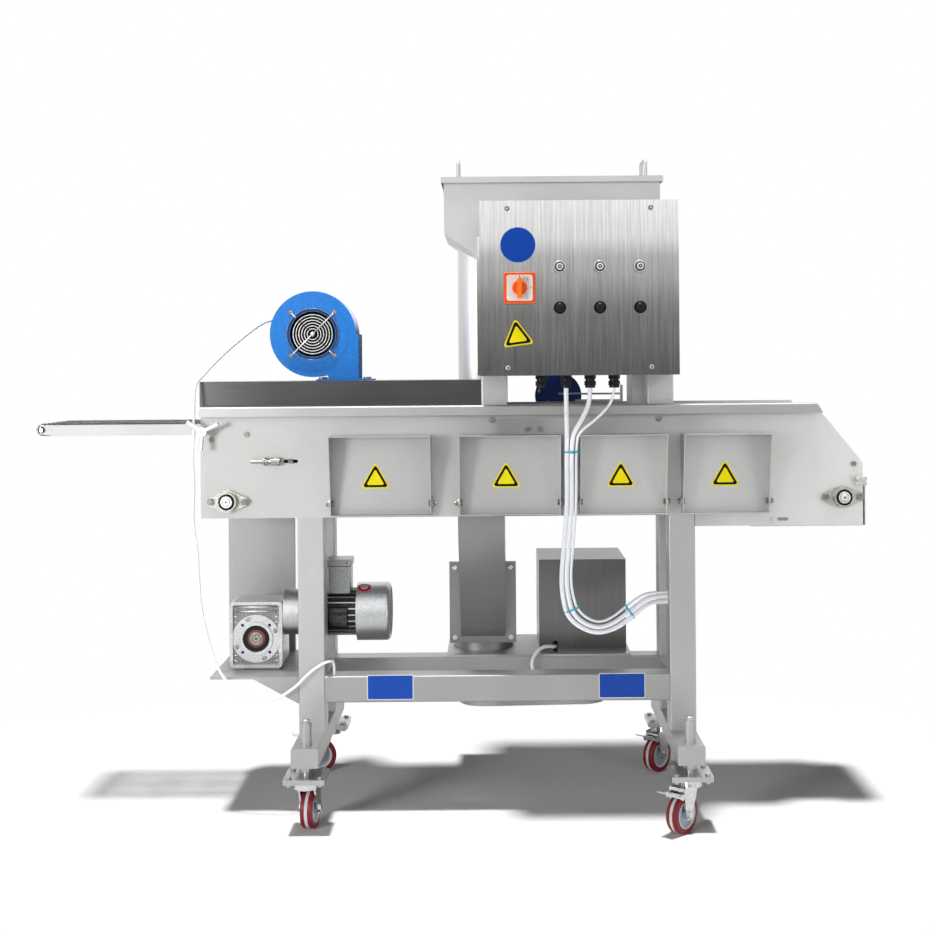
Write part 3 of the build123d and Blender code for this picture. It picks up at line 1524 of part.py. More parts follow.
# Elevator drive: base plate on the rear rail, motor, belt and the guard under the plate
motor_y = front_y + motor_setback
drive_plate_x = (auger_x - drive_plate_margin, motor_x + motor_cover_size[0] / 2 + drive_plate_lip)
drive_plate_y = (back_y - tube, motor_y + motor_cover_size[1] / 2 + drive_plate_lip)
with BuildPart() as drive_plate:
    with BuildSketch(Plane.XY.offset(base_z - base_plate)):
        with Locations((sum(drive_plate_x) / 2, sum(drive_plate_y) / 2)):
            Rectangle(drive_plate_x[1] - drive_plate_x[0], drive_plate_y[1] - drive_plate_y[0])
        with Locations((auger_x, auger_y), (motor_x, motor_y)):
            Circle(auger_core + seat_gap, mode=Mode.SUBTRACT)
    extrude(amount=base_plate)


def guard_section(radius):
    """Outline round both pulleys, in the active sketch."""
    with Locations((auger_x, auger_y), (motor_x, motor_y)):
        Circle(radius)
    make_hull()


with BuildPart() as belt_guard:
    with BuildSketch(Plane.XY.offset(guard_bottom_z)):
        guard_section(guard_radius)
    extrude(amount=base_z - base_plate - guard_bottom_z)
    with BuildSketch(Plane.XY.offset(guard_bottom_z + sheet)):
        guard_section(guard_radius - sheet)
    extrude(amount=base_z - base_plate - guard_bottom_z - sheet, mode=Mode.SUBTRACT)
with BuildPart() as drive_belt:
    with BuildSketch(Plane.XY.offset(pulley_z)):
        guard_section(pulley_radius + seat_gap + drive_belt_depth)
    extrude(amount=pulley_width)
    with BuildSketch(Plane.XY.offset(pulley_z)):
        guard_section(pulley_radius + seat_gap)
    extrude(amount=pulley_width, mode=Mode.SUBTRACT)
with BuildPart() as elevator_motor:
    with BuildSketch(Plane.XY.offset(base_z)):
        with Locations((motor_x, motor_y)):
            Circle(lift_motor_radius)
    extrude(amount=lift_motor_height)
    with BuildSketch(Plane.XY.offset(pulley_z)):
        with Locations((motor_x, motor_y)):
            Circle(auger_core)
    extrude(amount=base_z - pulley_z)
    with BuildSketch(Plane.XY.offset(pulley_z)):
        with Locations((motor_x, motor_y)):
            Circle(pulley_radius)
    extrude(amount=pulley_width)
export_group("elevator_drive", [drive_plate.part, belt_guard.part, drive_belt.part, elevator_motor.part])

with BuildPart() as motor_cover:
    with BuildSketch(Plane.XY.offset(base_z)):
        with Locations((motor_x, motor_y)):
            Rectangle(*motor_cover_size)
    extrude(amount=motor_cover_height)
    with BuildSketch(Plane.XY.offset(base_z)):
        with Locations((motor_x, motor_y)):
            Rectangle(motor_cover_size[0] - 2 * sheet, motor_cover_size[1] - 2 * sheet)
    extrude(amount=motor_cover_height - sheet, mode=Mode.SUBTRACT)
    with BuildSketch(Plane.YZ.offset(motor_x - motor_cover_size[0] / 2)):
        with Locations((motor_y, base_z + louvre_z)):
            with GridLocations(1, louvre_pitch, 1, louvre_count):
                Rectangle(louvre_length, louvre_gap)
    extrude(amount=motor_cover_size[0], mode=Mode.SUBTRACT)
    with BuildSketch(from_front(motor_y)):
        with Locations((cable_slot_x, base_z + cable_slot[1] / 2)):
            Rectangle(*cable_slot)
    extrude(amount=motor_cover_size[1] / 2, mode=Mode.SUBTRACT)
motor_cover.part.label = "motor_cover"
export_step(motor_cover.part, "parts/motor_cover.step")

# Gearmotor of the belt: worm gearbox on its bracket, bell, finned motor, fan cowl and terminal box
gear_y = (front_y + gear_setback, front_y + gear_setback + gear_depth)
gear_mid_y = (gear_y[0] + gear_y[1]) / 2
bracket_z = rail_bottom_z + tube
gear_bottom_z = bracket_z + gear_foot
worm_z = gear_z + worm_rise
with BuildPart() as gearbox:
    with BuildSketch(from_front(gear_y[1])):
        with Locations(((gear_left + gear_right) / 2, (gear_bottom_z + gear_top_z) / 2)):
            RectangleRounded(gear_right - gear_left, gear_top_z - gear_bottom_z, gear_corner)
    extrude(amount=gear_depth)
    for y in (gear_y[0], gear_y[1] + gear_flange):
        with BuildSketch(from_front(y)):
            with Locations((gear_x, gear_z)):
                Circle(flange_radius)
        extrude(amount=gear_flange)
    with BuildSketch(from_front(gear_y[1] + gear_flange)):
        with Locations((gear_x, gear_z)):
            Circle(output_radius + running_gap)
    extrude(amount=gear_depth + 2 * gear_flange, mode=Mode.SUBTRACT)
    with BuildSketch(from_front(gear_y[0] - gear_flange + gear_recess)):
        with Locations((gear_x, gear_z)):
            Circle(seal_radius)
    extrude(amount=gear_recess, mode=Mode.SUBTRACT)
    with BuildSketch(Plane.XY.offset(bracket_z)):
        with Locations(((gear_left + gear_right) / 2, gear_mid_y)):
            Rectangle(gear_right - gear_left - 2 * gear_corner, gear_depth)
    extrude(amount=gear_foot)

with BuildPart() as drive_motor:
    with BuildSketch(Plane.YZ.offset(gear_right)):
        with Locations((gear_mid_y, worm_z)):
            Circle(bell_radius)
    extrude(amount=bell_length)
    with BuildSketch(Plane.YZ.offset(gear_right + bell_length)):
        with Locations((gear_mid_y, worm_z)):
            Circle(motor_radius)
            with PolarLocations(motor_radius, fin_count):
                Rectangle(2 * fin_height, fin_sheet)
    extrude(amount=cowl_left - gear_right - bell_length)
    with BuildSketch(Plane.YZ.offset(cowl_left)):
        with Locations((gear_mid_y, worm_z)):
            Circle(cowl_radius)
    extrude(amount=cowl_right - cowl_left)
    fillet(drive_motor.faces().sort_by(Axis.X)[-1].edges(), cowl_edge)
    with BuildSketch(Plane.XY.offset(worm_z + motor_radius - fin_height)):
        with Locations((terminal_x, gear_mid_y)):
            RectangleRounded(*terminal_size, terminal_corner)
    extrude(amount=terminal_top_z - worm_z - motor_radius + fin_height)
export_group("gearmotor", [gearbox.part, drive_motor.part])

with BuildPart() as gearbox_shaft:
    with BuildSketch(from_front(chain_y + chain_width)):
        with Locations((gear_x, gear_z)):
            Circle(output_radius)
    extrude(amount=chain_y + chain_width - gear_y[0] + gear_flange)
    add(
        Pos(gear_x, chain_y + chain_width / 2, gear_z)
        * to_front
        * toothed_disc(
            motor_chain_radius,
            motor_chain_radius - chain_tooth,
            chain_teeth_motor,
            chain_width,
        )
    )
gearbox_shaft.part.label = "gearbox_shaft"
export_step(gearbox_shaft.part, "parts/gearbox_shaft.step")

# Drive bracket with its gussets, and the chain in its guard at the back
bracket_right = leg_x[0] - tube / 2
guard_y = (chain_y - guard_depth / 2, chain_y + guard_depth / 2)
with BuildPart() as gusset:
    with BuildSketch(from_front(plate)):
        with BuildLine():
            Polyline(
                (bracket_right, bracket_z - base_plate),
                (bracket_right, bracket_z - base_plate - gusset_height),
                (bracket_right - gusset_length, bracket_z - base_plate),
                close=True,
            )
        make_face()
    extrude(amount=plate)


def chain_section(grow):
    """Outline round both chain sprockets, in the active sketch."""
    with Locations((gear_x, gear_z)):
        Circle(motor_chain_radius + grow)
    with Locations((drive_x, shaft_z)):
        Circle(drive_chain_radius + grow)
    make_hull()


with BuildPart() as drive_chain:
    with BuildSketch(from_front(chain_y + chain_width / 2)):
        chain_section(seat_gap + chain_depth)
    extrude(amount=chain_width)
    with BuildSketch(from_front(chain_y + chain_width / 2)):
        chain_section(seat_gap)
    extrude(amount=chain_width, mode=Mode.SUBTRACT)

guard_mid = (sum(guard_x) / 2, (bracket_z + guard_top_z) / 2)
guard_size = (guard_x[1] - guard_x[0], guard_top_z - bracket_z)
with BuildPart() as chain_guard:
    with BuildSketch(from_front(guard_y[1])):
        with Locations(guard_mid):
            Rectangle(*guard_size)
    extrude(amount=guard_depth)
    with BuildSketch(from_front(guard_y[1] - sheet)):
        with Locations(guard_mid):
            Rectangle(guard_size[0] - 2 * sheet, guard_size[1] - 2 * sheet)
    extrude(amount=guard_depth - 2 * sheet, mode=Mode.SUBTRACT)
    with BuildSketch(from_front(guard_y[0] + sheet)):
        with Locations((gear_x, gear_z)):
            Circle(output_radius + seat_gap)
        with Locations((drive_x, shaft_z)):
            Circle(shaft_radius + seat_gap)
    extrude(amount=sheet, mode=Mode.SUBTRACT)

bracket_x = (gear_left - bracket_margin, bracket_right)
bracket_pieces = [
    block(bracket_x, (front_y, guard_y[1]), (bracket_z - base_plate, bracket_z)),
    Pos(0, front_y, 0) * gusset.part,
    Pos(0, back_y - plate, 0) * gusset.part,
    chain_guard.part,
    drive_chain.part,
]
export_group("drive_bracket", bracket_pieces)

# Levelling jacks: screw, lock nut and pad, bolted to the caster's top plate with its king pin
pad_z = 2 * wheel_radius + crown_clearance + crown_sheet + race_height + caster_top_plate
race_z = pad_z - caster_top_plate - seat_gap - race_height
crown_z = race_z - crown_sheet
with BuildPart() as levelling_screw:
    with BuildSketch(Plane.XY.offset(pad_z)):
        Circle(screw_radius)
    extrude(amount=screw_top_z - pad_z)
    chamfer(levelling_screw.faces().sort_by(Axis.Z)[-1].edges(), screw_chamfer)
    with BuildSketch(Plane.XY.offset(pad_z)):
        RectangleRounded(pad_size, pad_size, tube_radius)
    extrude(amount=pad_thickness)
    with BuildSketch(Plane.XY.offset(foot_bottom_z - seat_gap)):
        RegularPolygon(lock_nut_across / 2, 6, major_radius=False)
    extrude(amount=-lock_nut_height)
with BuildPart() as top_plate:
    with BuildSketch(Plane.XY.offset(pad_z)):
        RectangleRounded(pad_size, pad_size, tube_radius)
    extrude(amount=-caster_top_plate)
    with BuildSketch(Plane.XY.offset(pad_z - caster_top_plate)):
        Circle(pin_radius)
    extrude(amount=-(pad_z - caster_top_plate - crown_z + seat_gap))
    with BuildSketch(Plane.XY.offset(crown_z - seat_gap)):
        Circle(pin_head_radius)
    extrude(amount=-pin_head)
with BuildPart() as pad_bolt:
    with BuildSketch(Plane.XY.offset(pad_z + pad_thickness)):
        RegularPolygon(bolt_across / 2, 6, major_radius=False)
    extrude(amount=bolt_head)
    with BuildSketch(Plane.XY.offset(pad_z - caster_top_plate)):
        RegularPolygon(bolt_across / 2, 6, major_radius=False)
    extrude(amount=-nut_height)

# Caster fork: ball race, crown, two legs with the axle, and the ears of the brake pedal
leg_side_y = wheel_width / 2 + fork_side_gap
with BuildPart() as caster_fork:
    with BuildSketch(Plane.XY.offset(race_z)):
        Circle(race_radius)
    extrude(amount=race_height)
    with BuildSketch(Plane.XY.offset(crown_z)):
        Circle(race_radius)
        with Locations((crown_reach / 2, 0)):
            Rectangle(crown_reach, 2 * (leg_side_y + fork_sheet))
    extrude(amount=crown_sheet)
    with BuildSketch(Plane.XY.offset(crown_z)):
        Circle(pin_radius + running_gap)
    extrude(amount=crown_sheet + race_height, mode=Mode.SUBTRACT)
    for y in (-leg_side_y, leg_side_y + fork_sheet):
        with BuildSketch(from_front(y)) as fork_leg:
            with Locations((wheel_trail, wheel_radius)):
                Circle(leg_round)
            with Locations((crown_reach / 2, crown_z + crown_sheet / 2)):
                Rectangle(crown_reach, crown_sheet)
            make_hull()
            with Locations(pedal_pivot):
                Circle(ear_radius)
            with Locations(pedal_pivot):
                Circle(pedal_pin_radius + running_gap, mode=Mode.SUBTRACT)
        extrude(amount=fork_sheet)
    with BuildSketch(from_front(leg_side_y + fork_sheet + axle_nut)):
        with Locations((wheel_trail, wheel_radius)):
            Circle(axle_radius)
    extrude(amount=2 * (leg_side_y + fork_sheet + axle_nut))
    for y in (leg_side_y + fork_sheet + axle_nut, -leg_side_y - fork_sheet):
        with BuildSketch(from_front(y)):
            with Locations((wheel_trail, wheel_radius)):
                RegularPolygon(axle_nut_across / 2, 6, major_radius=False)
        extrude(amount=axle_nut)

with BuildPart() as caster_wheel:
    with BuildSketch(Plane.XY.offset(-wheel_width / 2)):
        Circle(wheel_radius)
    extrude(amount=wheel_width)
    fillet(caster_wheel.edges().filter_by(GeomType.CIRCLE), tread_round)
    for z, side in ((wheel_width / 2, -1), (-wheel_width / 2, 1)):
        with BuildSketch(Plane.XY.offset(z)):
            Circle(hub_radius)
            Circle(hub_core, mode=Mode.SUBTRACT)
        extrude(amount=side * hub_recess, mode=Mode.SUBTRACT)
    with BuildSketch(Plane.XY.offset(-wheel_width / 2)):
        Circle(hub_core)
    extrude(amount=-hub_proud)
    with BuildSketch(Plane.XY.offset(wheel_width / 2)):
        Circle(hub_core)
    extrude(amount=hub_proud)
    with BuildSketch(Plane.XY.offset(-wheel_width)):
        Circle(axle_radius + running_gap)
    extrude(amount=2 * wheel_width, mode=Mode.SUBTRACT)

# Brake pedal: a bent plate on its pin between the fork's ears
with BuildPart() as brake_pedal:
    with BuildSketch(from_front(leg_side_y + fork_sheet)):
        with Locations(pedal_pivot):
            Circle(pedal_pin_radius)
    extrude(amount=2 * (leg_side_y + fork_sheet))
    with BuildSketch(from_front(leg_side_y - seat_gap)):
        with Locations(pedal_pivot):
            Circle(pedal_hub)
    extrude(amount=2 * (leg_side_y - seat_gap))
    with BuildSketch(from_front(pedal_width / 2)):
        with BuildLine():
            Polyline(
                (pedal_pivot[0], pedal_pivot[1] + pedal_hub - plate),
                (pedal_pivot[0], pedal_pivot[1] + pedal_hub),
                (pedal_pivot[0] + pedal_length, pedal_pivot[1] + pedal_hub + pedal_lift),
                (pedal_pivot[0] + pedal_length, pedal_pivot[1] + pedal_hub + pedal_lift - plate),
                close=True,
            )
        make_face()
    extrude(amount=pedal_width)

caster_spots = {
    "front_left": (leg_x[0], jack_y[0]),
    "front_right": (leg_x[1], jack_y[0]),
    "rear_left": (leg_x[0], jack_y[1]),
    "rear_right": (leg_x[1], jack_y[1]),
}
for corner, (x, y) in caster_spots.items():
    spot = Pos(x, y, 0)
    turned = spot * Rot(0, 0, caster_headings[corner])
    jack_pieces = [spot * levelling_screw.part, spot * top_plate.part]
    for side_x in (-pad_bolt_pitch / 2, pad_bolt_pitch / 2):
        for side_y in (-pad_bolt_pitch / 2, pad_bolt_pitch / 2):
            jack_pieces.append(Pos(x + side_x, y + side_y, 0) * pad_bolt.part)
    export_group(f"jack_{corner}", jack_pieces)
    caster_pieces = {
        "caster_fork": turned * caster_fork.part,
        "caster_wheel": turned * Pos(wheel_trail, 0, wheel_radius) * to_front * caster_wheel.part,
        "brake_pedal": turned * brake_pedal.part,
    }
    for piece_name, piece in caster_pieces.items():
        piece.label = f"{piece_name}_{corner}"
        export_step(piece, f"parts/{piece_name}_{corner}.step")

# Cables: each runs from its gland or box along points chosen by hand, rounded at every corner


def cable(name, points, diameter):
    """Write one cable as a plain tube along its points, with tangent arcs at the corners."""
    spots = [Vector(*point) for point in points]
    bends = []
    for before, here, after in zip(spots, spots[1:], spots[2:]):
        turn = math.radians((here - before).get_angle(after - here))
        shorter = min((here - before).length, (after - here).length)
        bends.append(cable_bend * shorter / math.tan(max(turn, least_turn) / 2))
    with BuildPart() as tube_part:
        with BuildLine() as route:
            FilletPolyline(*points, radius=bends)
        path = route.wires()[0]
        with BuildSketch(Plane(origin=path @ 0, z_dir=path % 0)) as section:
            Circle(diameter / 2)
        sweep(section.sketch, path=path)
    tube_part.part.label = name
    filled = tube_part.part.volume / (section.sketch.area * path.length)
    print(name, "length", round(path.length), "tightest bend", round(min(bends)), "filled", round(filled, 3))
    export_step(tube_part.part, f"parts/{name}.step")


for number, (diameter, points) in enumerate(panel_cables, start=1):
    cable(f"panel_cable_{number}", points, diameter)
cable("blower_cable", blower_cable, blower_cable_diameter)
cable("drive_cable", drive_cable, drive_cable_diameter)
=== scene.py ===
"""Looks of the breading machine: finishes, cables, belt wires, labels, studio and camera.

Metres throughout. X runs along the belt, Y from the operator's side to the back, Z up.
"""

import math

import bmesh
import bpy
from mathutils import Matrix, Vector


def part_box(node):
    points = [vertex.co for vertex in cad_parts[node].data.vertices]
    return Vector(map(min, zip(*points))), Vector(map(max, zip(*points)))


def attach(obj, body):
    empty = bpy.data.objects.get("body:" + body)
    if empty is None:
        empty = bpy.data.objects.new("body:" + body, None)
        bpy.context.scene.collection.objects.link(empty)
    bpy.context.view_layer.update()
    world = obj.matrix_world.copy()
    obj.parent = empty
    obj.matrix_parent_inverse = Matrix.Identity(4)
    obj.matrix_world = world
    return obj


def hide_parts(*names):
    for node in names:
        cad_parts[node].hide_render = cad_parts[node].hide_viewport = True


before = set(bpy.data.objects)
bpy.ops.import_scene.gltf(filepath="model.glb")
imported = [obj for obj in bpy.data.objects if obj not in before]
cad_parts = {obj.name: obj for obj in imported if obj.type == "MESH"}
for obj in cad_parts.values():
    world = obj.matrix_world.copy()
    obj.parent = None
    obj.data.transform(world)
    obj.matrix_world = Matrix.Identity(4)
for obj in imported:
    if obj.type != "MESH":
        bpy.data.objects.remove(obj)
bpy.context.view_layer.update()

# Camera, from the photograph: distance to the front of the body, eye height and roll
front_y = -0.142
camera_distance = 3.70
eye_height = 1.186
camera_x = 0.122
camera_lens = 54.05
camera_roll = 0.45
image_size = 930
vanishing_px = (495, 368)

# Sizes that the looks share with the machine
belt_width = 0.240
middle_y = 0.0115
shaft_z, drive_x, tail_x = 0.838, -0.588, 1.039
nose_x, nose_z = -1.089, 1.030


# Materials


def new_material(name):
    """Material with its shader and texture coordinates ready."""
    material = bpy.data.materials.new(name)
    material.use_nodes = True
    nodes = material.node_tree.nodes
    shader = nodes["Principled BSDF"]
    coords = nodes.new("ShaderNodeTexCoord")
    return material, nodes, material.node_tree.links, shader, coords.outputs["Object"]


def scaled_noise(nodes, links, source, scale, detail=3.0, noise_scale=1.0, roughness=0.55):
    """Noise stretched by scale along X, Y and Z."""
    mapping = nodes.new("ShaderNodeMapping")
    mapping.inputs["Scale"].default_value = scale
    links.new(source, mapping.inputs["Vector"])
    noise = nodes.new("ShaderNodeTexNoise")
    noise.inputs["Scale"].default_value = noise_scale
    noise.inputs["Detail"].default_value = detail
    noise.inputs["Roughness"].default_value = roughness
    links.new(mapping.outputs["Vector"], noise.inputs["Vector"])
    return noise.outputs["Fac"]


def ramp(nodes, links, factor, low, high, start=0.3, stop=0.7):
    """Colour ramp from low to high between the two stops."""
    node = nodes.new("ShaderNodeValToRGB")
    node.color_ramp.elements[0].position = start
    node.color_ramp.elements[1].position = stop
    node.color_ramp.elements[0].color = (*low, 1)
    node.color_ramp.elements[1].color = (*high, 1)
    links.new(factor, node.inputs["Fac"])
    return node.outputs["Color"]


def spread(nodes, links, factor, low, high):
    """Map 0..1 to low..high."""
    node = nodes.new("ShaderNodeMapRange")
    node.inputs["To Min"].default_value = low
    node.inputs["To Max"].default_value = high
    links.new(factor, node.inputs["Value"])
    return node.outputs["Result"]


def bump(nodes, links, shader, height, strength, distance):
    """Bump from a height onto the shader."""
    node = nodes.new("ShaderNodeBump")
    node.inputs["Strength"].default_value = strength
    node.inputs["Distance"].default_value = distance
    links.new(height, node.inputs["Height"])
    links.new(node.outputs["Normal"], shader.inputs["Normal"])


def grey_stops(nodes, stops, low, high):
    """Colour ramp through stops given as place and grey level, for places from low to high."""
    node = nodes.new("ShaderNodeValToRGB")
    points = node.color_ramp.elements
    while len(points) < len(stops):
        points.new(0.5)
    for point, (place, level) in zip(points, stops):
        point.position = (place - low) / (high - low)
        point.color = (level, level, level, 1)
    return node


def multiplied(nodes, links, one, other):
    """Product of two colours."""
    node = nodes.new("ShaderNodeVectorMath")
    node.operation = "MULTIPLY"
    links.new(one, node.inputs[0])
    links.new(other, node.inputs[1])
    return node.outputs["Vector"]


def faded(nodes, links, coords, tone, fade):
    """Painted light and shade: a tone that changes along an axis, from stops given as place and level."""
    axis, stops = fade
    first, last = stops[0][0], stops[-1][0]
    split_place = nodes.new("ShaderNodeSeparateXYZ")
    links.new(coords, split_place.inputs["Vector"])
    along = nodes.new("ShaderNodeMapRange")
    along.inputs["From Min"].default_value = first
    along.inputs["From Max"].default_value = last
    links.new(split_place.outputs[axis], along.inputs["Value"])
    levels = grey_stops(nodes, stops, first, last)
    levels.color_ramp.interpolation = "EASE"
    links.new(along.outputs["Result"], levels.inputs["Fac"])
    return multiplied(nodes, links, tone, levels.outputs["Color"])


def sheet_steel(name, grain, dark, light, roughness, metallic=0.75, strength=0.25, fade=None, cloudy=0.45):
    """Sheet steel with a grain stretched by its scale, slow cloudy changes and, where fade is given, painted
    light and shade along an axis.
    """
    material, nodes, links, shader, coords = new_material(name)
    shader.inputs["Metallic"].default_value = metallic
    fine = scaled_noise(nodes, links, coords, grain, detail=4.0)
    cloud = scaled_noise(nodes, links, coords, (3.0, 3.0, 2.2), detail=2.0)
    blend = nodes.new("ShaderNodeMix")
    blend.inputs["Factor"].default_value = cloudy
    links.new(fine, blend.inputs[2])
    links.new(cloud, blend.inputs[3])
    mixed = blend.outputs[0]
    tone = ramp(nodes, links, mixed, (dark, dark, dark * 0.985), (light, light, light * 0.985))
    if fade:
        tone = faded(nodes, links, coords, tone, fade)
    links.new(tone, shader.inputs["Base Color"])
    links.new(spread(nodes, links, mixed, roughness - 0.06, roughness + 0.08), shader.inputs["Roughness"])
    bump(nodes, links, shader, fine, strength, 0.0002)
    return material


def plain_metal(name, dark, light, roughness, scale=60.0, strength=0.15, metallic=1.0, distance=0.0004):
    """Cast, turned or plated metal with an even grain."""
    material, nodes, links, shader, coords = new_material(name)
    shader.inputs["Metallic"].default_value = metallic
    grain = scaled_noise(nodes, links, coords, (scale, scale, scale), detail=5.0)
    links.new(ramp(nodes, links, grain, dark, light), shader.inputs["Base Color"])
    links.new(spread(nodes, links, grain, roughness - 0.05, roughness + 0.08), shader.inputs["Roughness"])
    bump(nodes, links, shader, grain, strength, distance)
    return material


def coated(name, color, roughness, scale=90.0, strength=0.1, variation=0.12, coat=0.0, specular=0.3):
    """Paint, plastic or rubber with a little change of tone."""
    material, nodes, links, shader, coords = new_material(name)
    grain = scaled_noise(nodes, links, coords, (scale, scale, scale), detail=4.0)
    low = tuple(channel * (1 - variation) for channel in color)
    high = tuple(min(1.0, channel * (1 + variation)) for channel in color)
    links.new(ramp(nodes, links, grain, low, high), shader.inputs["Base Color"])
    links.new(spread(nodes, links, grain, roughness - 0.04, roughness + 0.06), shader.inputs["Roughness"])
    shader.inputs["Specular IOR Level"].default_value = specular
    shader.inputs["Coat Weight"].default_value = coat
    shader.inputs["Coat Roughness"].default_value = 0.12
    bump(nodes, links, shader, grain, strength, 0.0003)
    return material


along_z = (500.0, 500.0, 6.0)
blasted = (420.0, 420.0, 420.0)
# Painted shade on the side plates and end tray: tone along X, darker through the middle under the control
# box, darkest round X 0.14 to 0.22, lighter at both ends.
plate_painted_shade = ("X", ((-0.66, 0.54), (-0.34, 0.62), (-0.10, 0.66), (0.10, 0.57), (0.14, 0.42), (0.22, 0.48),
                    (0.29, 0.62), (0.62, 0.60), (0.78, 0.78), (1.10, 0.86)))
plate_steel = sheet_steel("plate_steel", blasted, 0.64, 0.76, 0.50, metallic=0.85, fade=plate_painted_shade)
# Painted shade: the rim is a darker copy of the plate steel.
rim_painted_shade_steel = sheet_steel("rim_painted_shade_steel", blasted, 0.34, 0.42, 0.46, metallic=0.85)
# Painted light and shade on the doors: a darker copy of the plate steel, about a fifth darker at the two left
# doors than at the two right ones.
door_painted_light_and_shade = ("X", ((-0.30, 0.80), (0.15, 0.84), (0.35, 1.0), (0.85, 0.97)))
door_steel = sheet_steel("door_steel", blasted, 0.46, 0.57, 0.46, metallic=0.85, fade=door_painted_light_and_shade)
# Painted shade on the nose: a darker copy of the sheet steel, darkened further towards the nose end.
nose_painted_shade = ("X", ((-1.12, 0.60), (-0.85, 0.72), (-0.60, 0.95), (1.10, 1.0)))
nose_steel = sheet_steel("nose_steel", blasted, 0.38, 0.48, 0.44, fade=nose_painted_shade)
bracket_steel = sheet_steel("bracket_steel", blasted, 0.28, 0.37, 0.46)
# Painted shade on the control box: darker towards the bottom, about a quarter of the top's tone at 1.16 m.
box_painted_shade = ("Z", ((1.16, 0.26), (1.30, 0.34), (1.45, 0.62), (1.52, 0.96), (1.61, 1.0)))
box_steel = sheet_steel("box_steel", (330.0, 330.0, 7.0), 0.68, 1.0, 0.22, metallic=0.9, strength=0.15,
                        cloudy=0.15, fade=box_painted_shade)
# Painted dark reflection: the hood's steel has a very dark tone.
hood_painted_dark_steel = sheet_steel("hood_painted_dark_steel", (6.0, 500.0, 500.0), 0.10, 0.16, 0.24, metallic=0.9)
hopper_steel = sheet_steel("hopper_steel", blasted, 0.54, 0.64, 0.40)
# Painted light: the elevator tube is a lighter copy of the sheet steel.
tube_painted_light_steel = sheet_steel("tube_painted_light_steel", blasted, 0.74, 0.84, 0.5, metallic=0.85)
frame_steel = sheet_steel("frame_steel", blasted, 0.36, 0.47, 0.46)
# Copies of the frame steel in other tones: the posts lighter as painted light, the rails and feet darker as
# painted shade.
post_painted_light_steel = sheet_steel("post_painted_light_steel", blasted, 0.46, 0.58, 0.46)
rail_painted_shade_steel = sheet_steel("rail_painted_shade_steel", blasted, 0.29, 0.38, 0.46)
foot_painted_shade_steel = sheet_steel("foot_painted_shade_steel", blasted, 0.30, 0.44, 0.44)
cover_steel = sheet_steel("cover_steel", along_z, 0.15, 0.20, 0.30, metallic=0.9)
# Painted shade: the elevator's chute is a darker copy of the sheet steel.
chute_painted_shade_steel = sheet_steel("chute_painted_shade_steel", blasted, 0.24, 0.32, 0.40)
pad_steel = sheet_steel("pad_steel", blasted, 0.30, 0.52, 0.30, metallic=0.95)
wire_steel = plain_metal("wire_steel", (0.30, 0.30, 0.29), (0.46, 0.46, 0.44), 0.30)
belt_steel = plain_metal("belt_steel", (0.05, 0.05, 0.045), (0.14, 0.14, 0.13), 0.34)
gear_recess = plain_metal("gear_recess", (0.10, 0.10, 0.10), (0.34, 0.34, 0.34), 0.36, scale=260.0,
                          strength=0.3)
# Painted shade for the gaps between the motor's fins.
fin_gap_painted_shade = plain_metal("fin_gap_painted_shade", (0.02, 0.02, 0.02), (0.05, 0.05, 0.05), 0.5)
terminal_cast = plain_metal("terminal_cast", (0.26, 0.27, 0.27), (0.38, 0.39, 0.39), 0.36, scale=220.0,
                            strength=0.3)
chrome = plain_metal("chrome", (0.46, 0.46, 0.46), (0.66, 0.66, 0.66), 0.14, scale=120.0, strength=0.05)
bright_steel = plain_metal("bright_steel", (0.66, 0.66, 0.64), (0.84, 0.84, 0.82), 0.34, scale=160.0,
                           strength=0.1)
bolt_steel = plain_metal("bolt_steel", (0.18, 0.18, 0.17), (0.40, 0.40, 0.38), 0.28, scale=160.0,
                         strength=0.2)
brass = plain_metal("brass", (0.42, 0.30, 0.12), (0.62, 0.46, 0.20), 0.28, scale=200.0, strength=0.1)
bearing_cast = plain_metal("bearing_cast", (0.36, 0.35, 0.32), (0.60, 0.58, 0.53), 0.34, scale=160.0,
                           strength=0.3)
gear_cast = plain_metal("gear_cast", (0.46, 0.47, 0.48), (0.72, 0.73, 0.74), 0.30, scale=260.0, strength=0.4,
                        metallic=0.8)
dark_steel = plain_metal("dark_steel", (0.06, 0.06, 0.06), (0.16, 0.16, 0.16), 0.22, scale=200.0,
                         strength=0.1)
aluminium_cast = plain_metal("aluminium_cast", (0.36, 0.37, 0.38), (0.54, 0.55, 0.56), 0.36, scale=220.0,
                             strength=0.4)
blower_blue = coated("blower_blue", (0.025, 0.25, 0.80), 0.26, strength=0.03, variation=0.04, coat=0.5)
dark_blue = coated("dark_blue", (0.01, 0.03, 0.10), 0.4)
feeder_blue = coated("feeder_blue", (0.01, 0.06, 0.32), 0.30, strength=0.05, coat=0.4)
tyre_red = coated("tyre_red", (0.20, 0.008, 0.018), 0.38)
tread_grey = coated("tread_grey", (0.62, 0.62, 0.62), 0.5, variation=0.05)
hub_grey = coated("hub_grey", (0.34, 0.40, 0.48), 0.4, variation=0.05)
black_plastic = coated("black_plastic", (0.010, 0.010, 0.011), 0.32, specular=0.2)
lens_clear = coated("lens_clear", (0.80, 0.84, 0.82), 0.12, variation=0.03, coat=0.8)
switch_white = coated("switch_white", (0.82, 0.80, 0.78), 0.3, variation=0.03)
switch_orange = coated("switch_orange", (0.93, 0.10, 0.005), 0.28, variation=0.05, coat=0.3)
grip_orange = coated("grip_orange", (1.0, 0.22, 0.02), 0.28, variation=0.03, coat=0.3)
cable_grey = coated("cable_grey", (0.92, 0.94, 0.98), 0.42, variation=0.02, specular=0.7)
tie_cyan = coated("tie_cyan", (0.02, 0.42, 0.62), 0.4, variation=0.05)
label_yellow = coated("label_yellow", (0.98, 0.84, 0.004), 0.35, strength=0.02, variation=0.01)
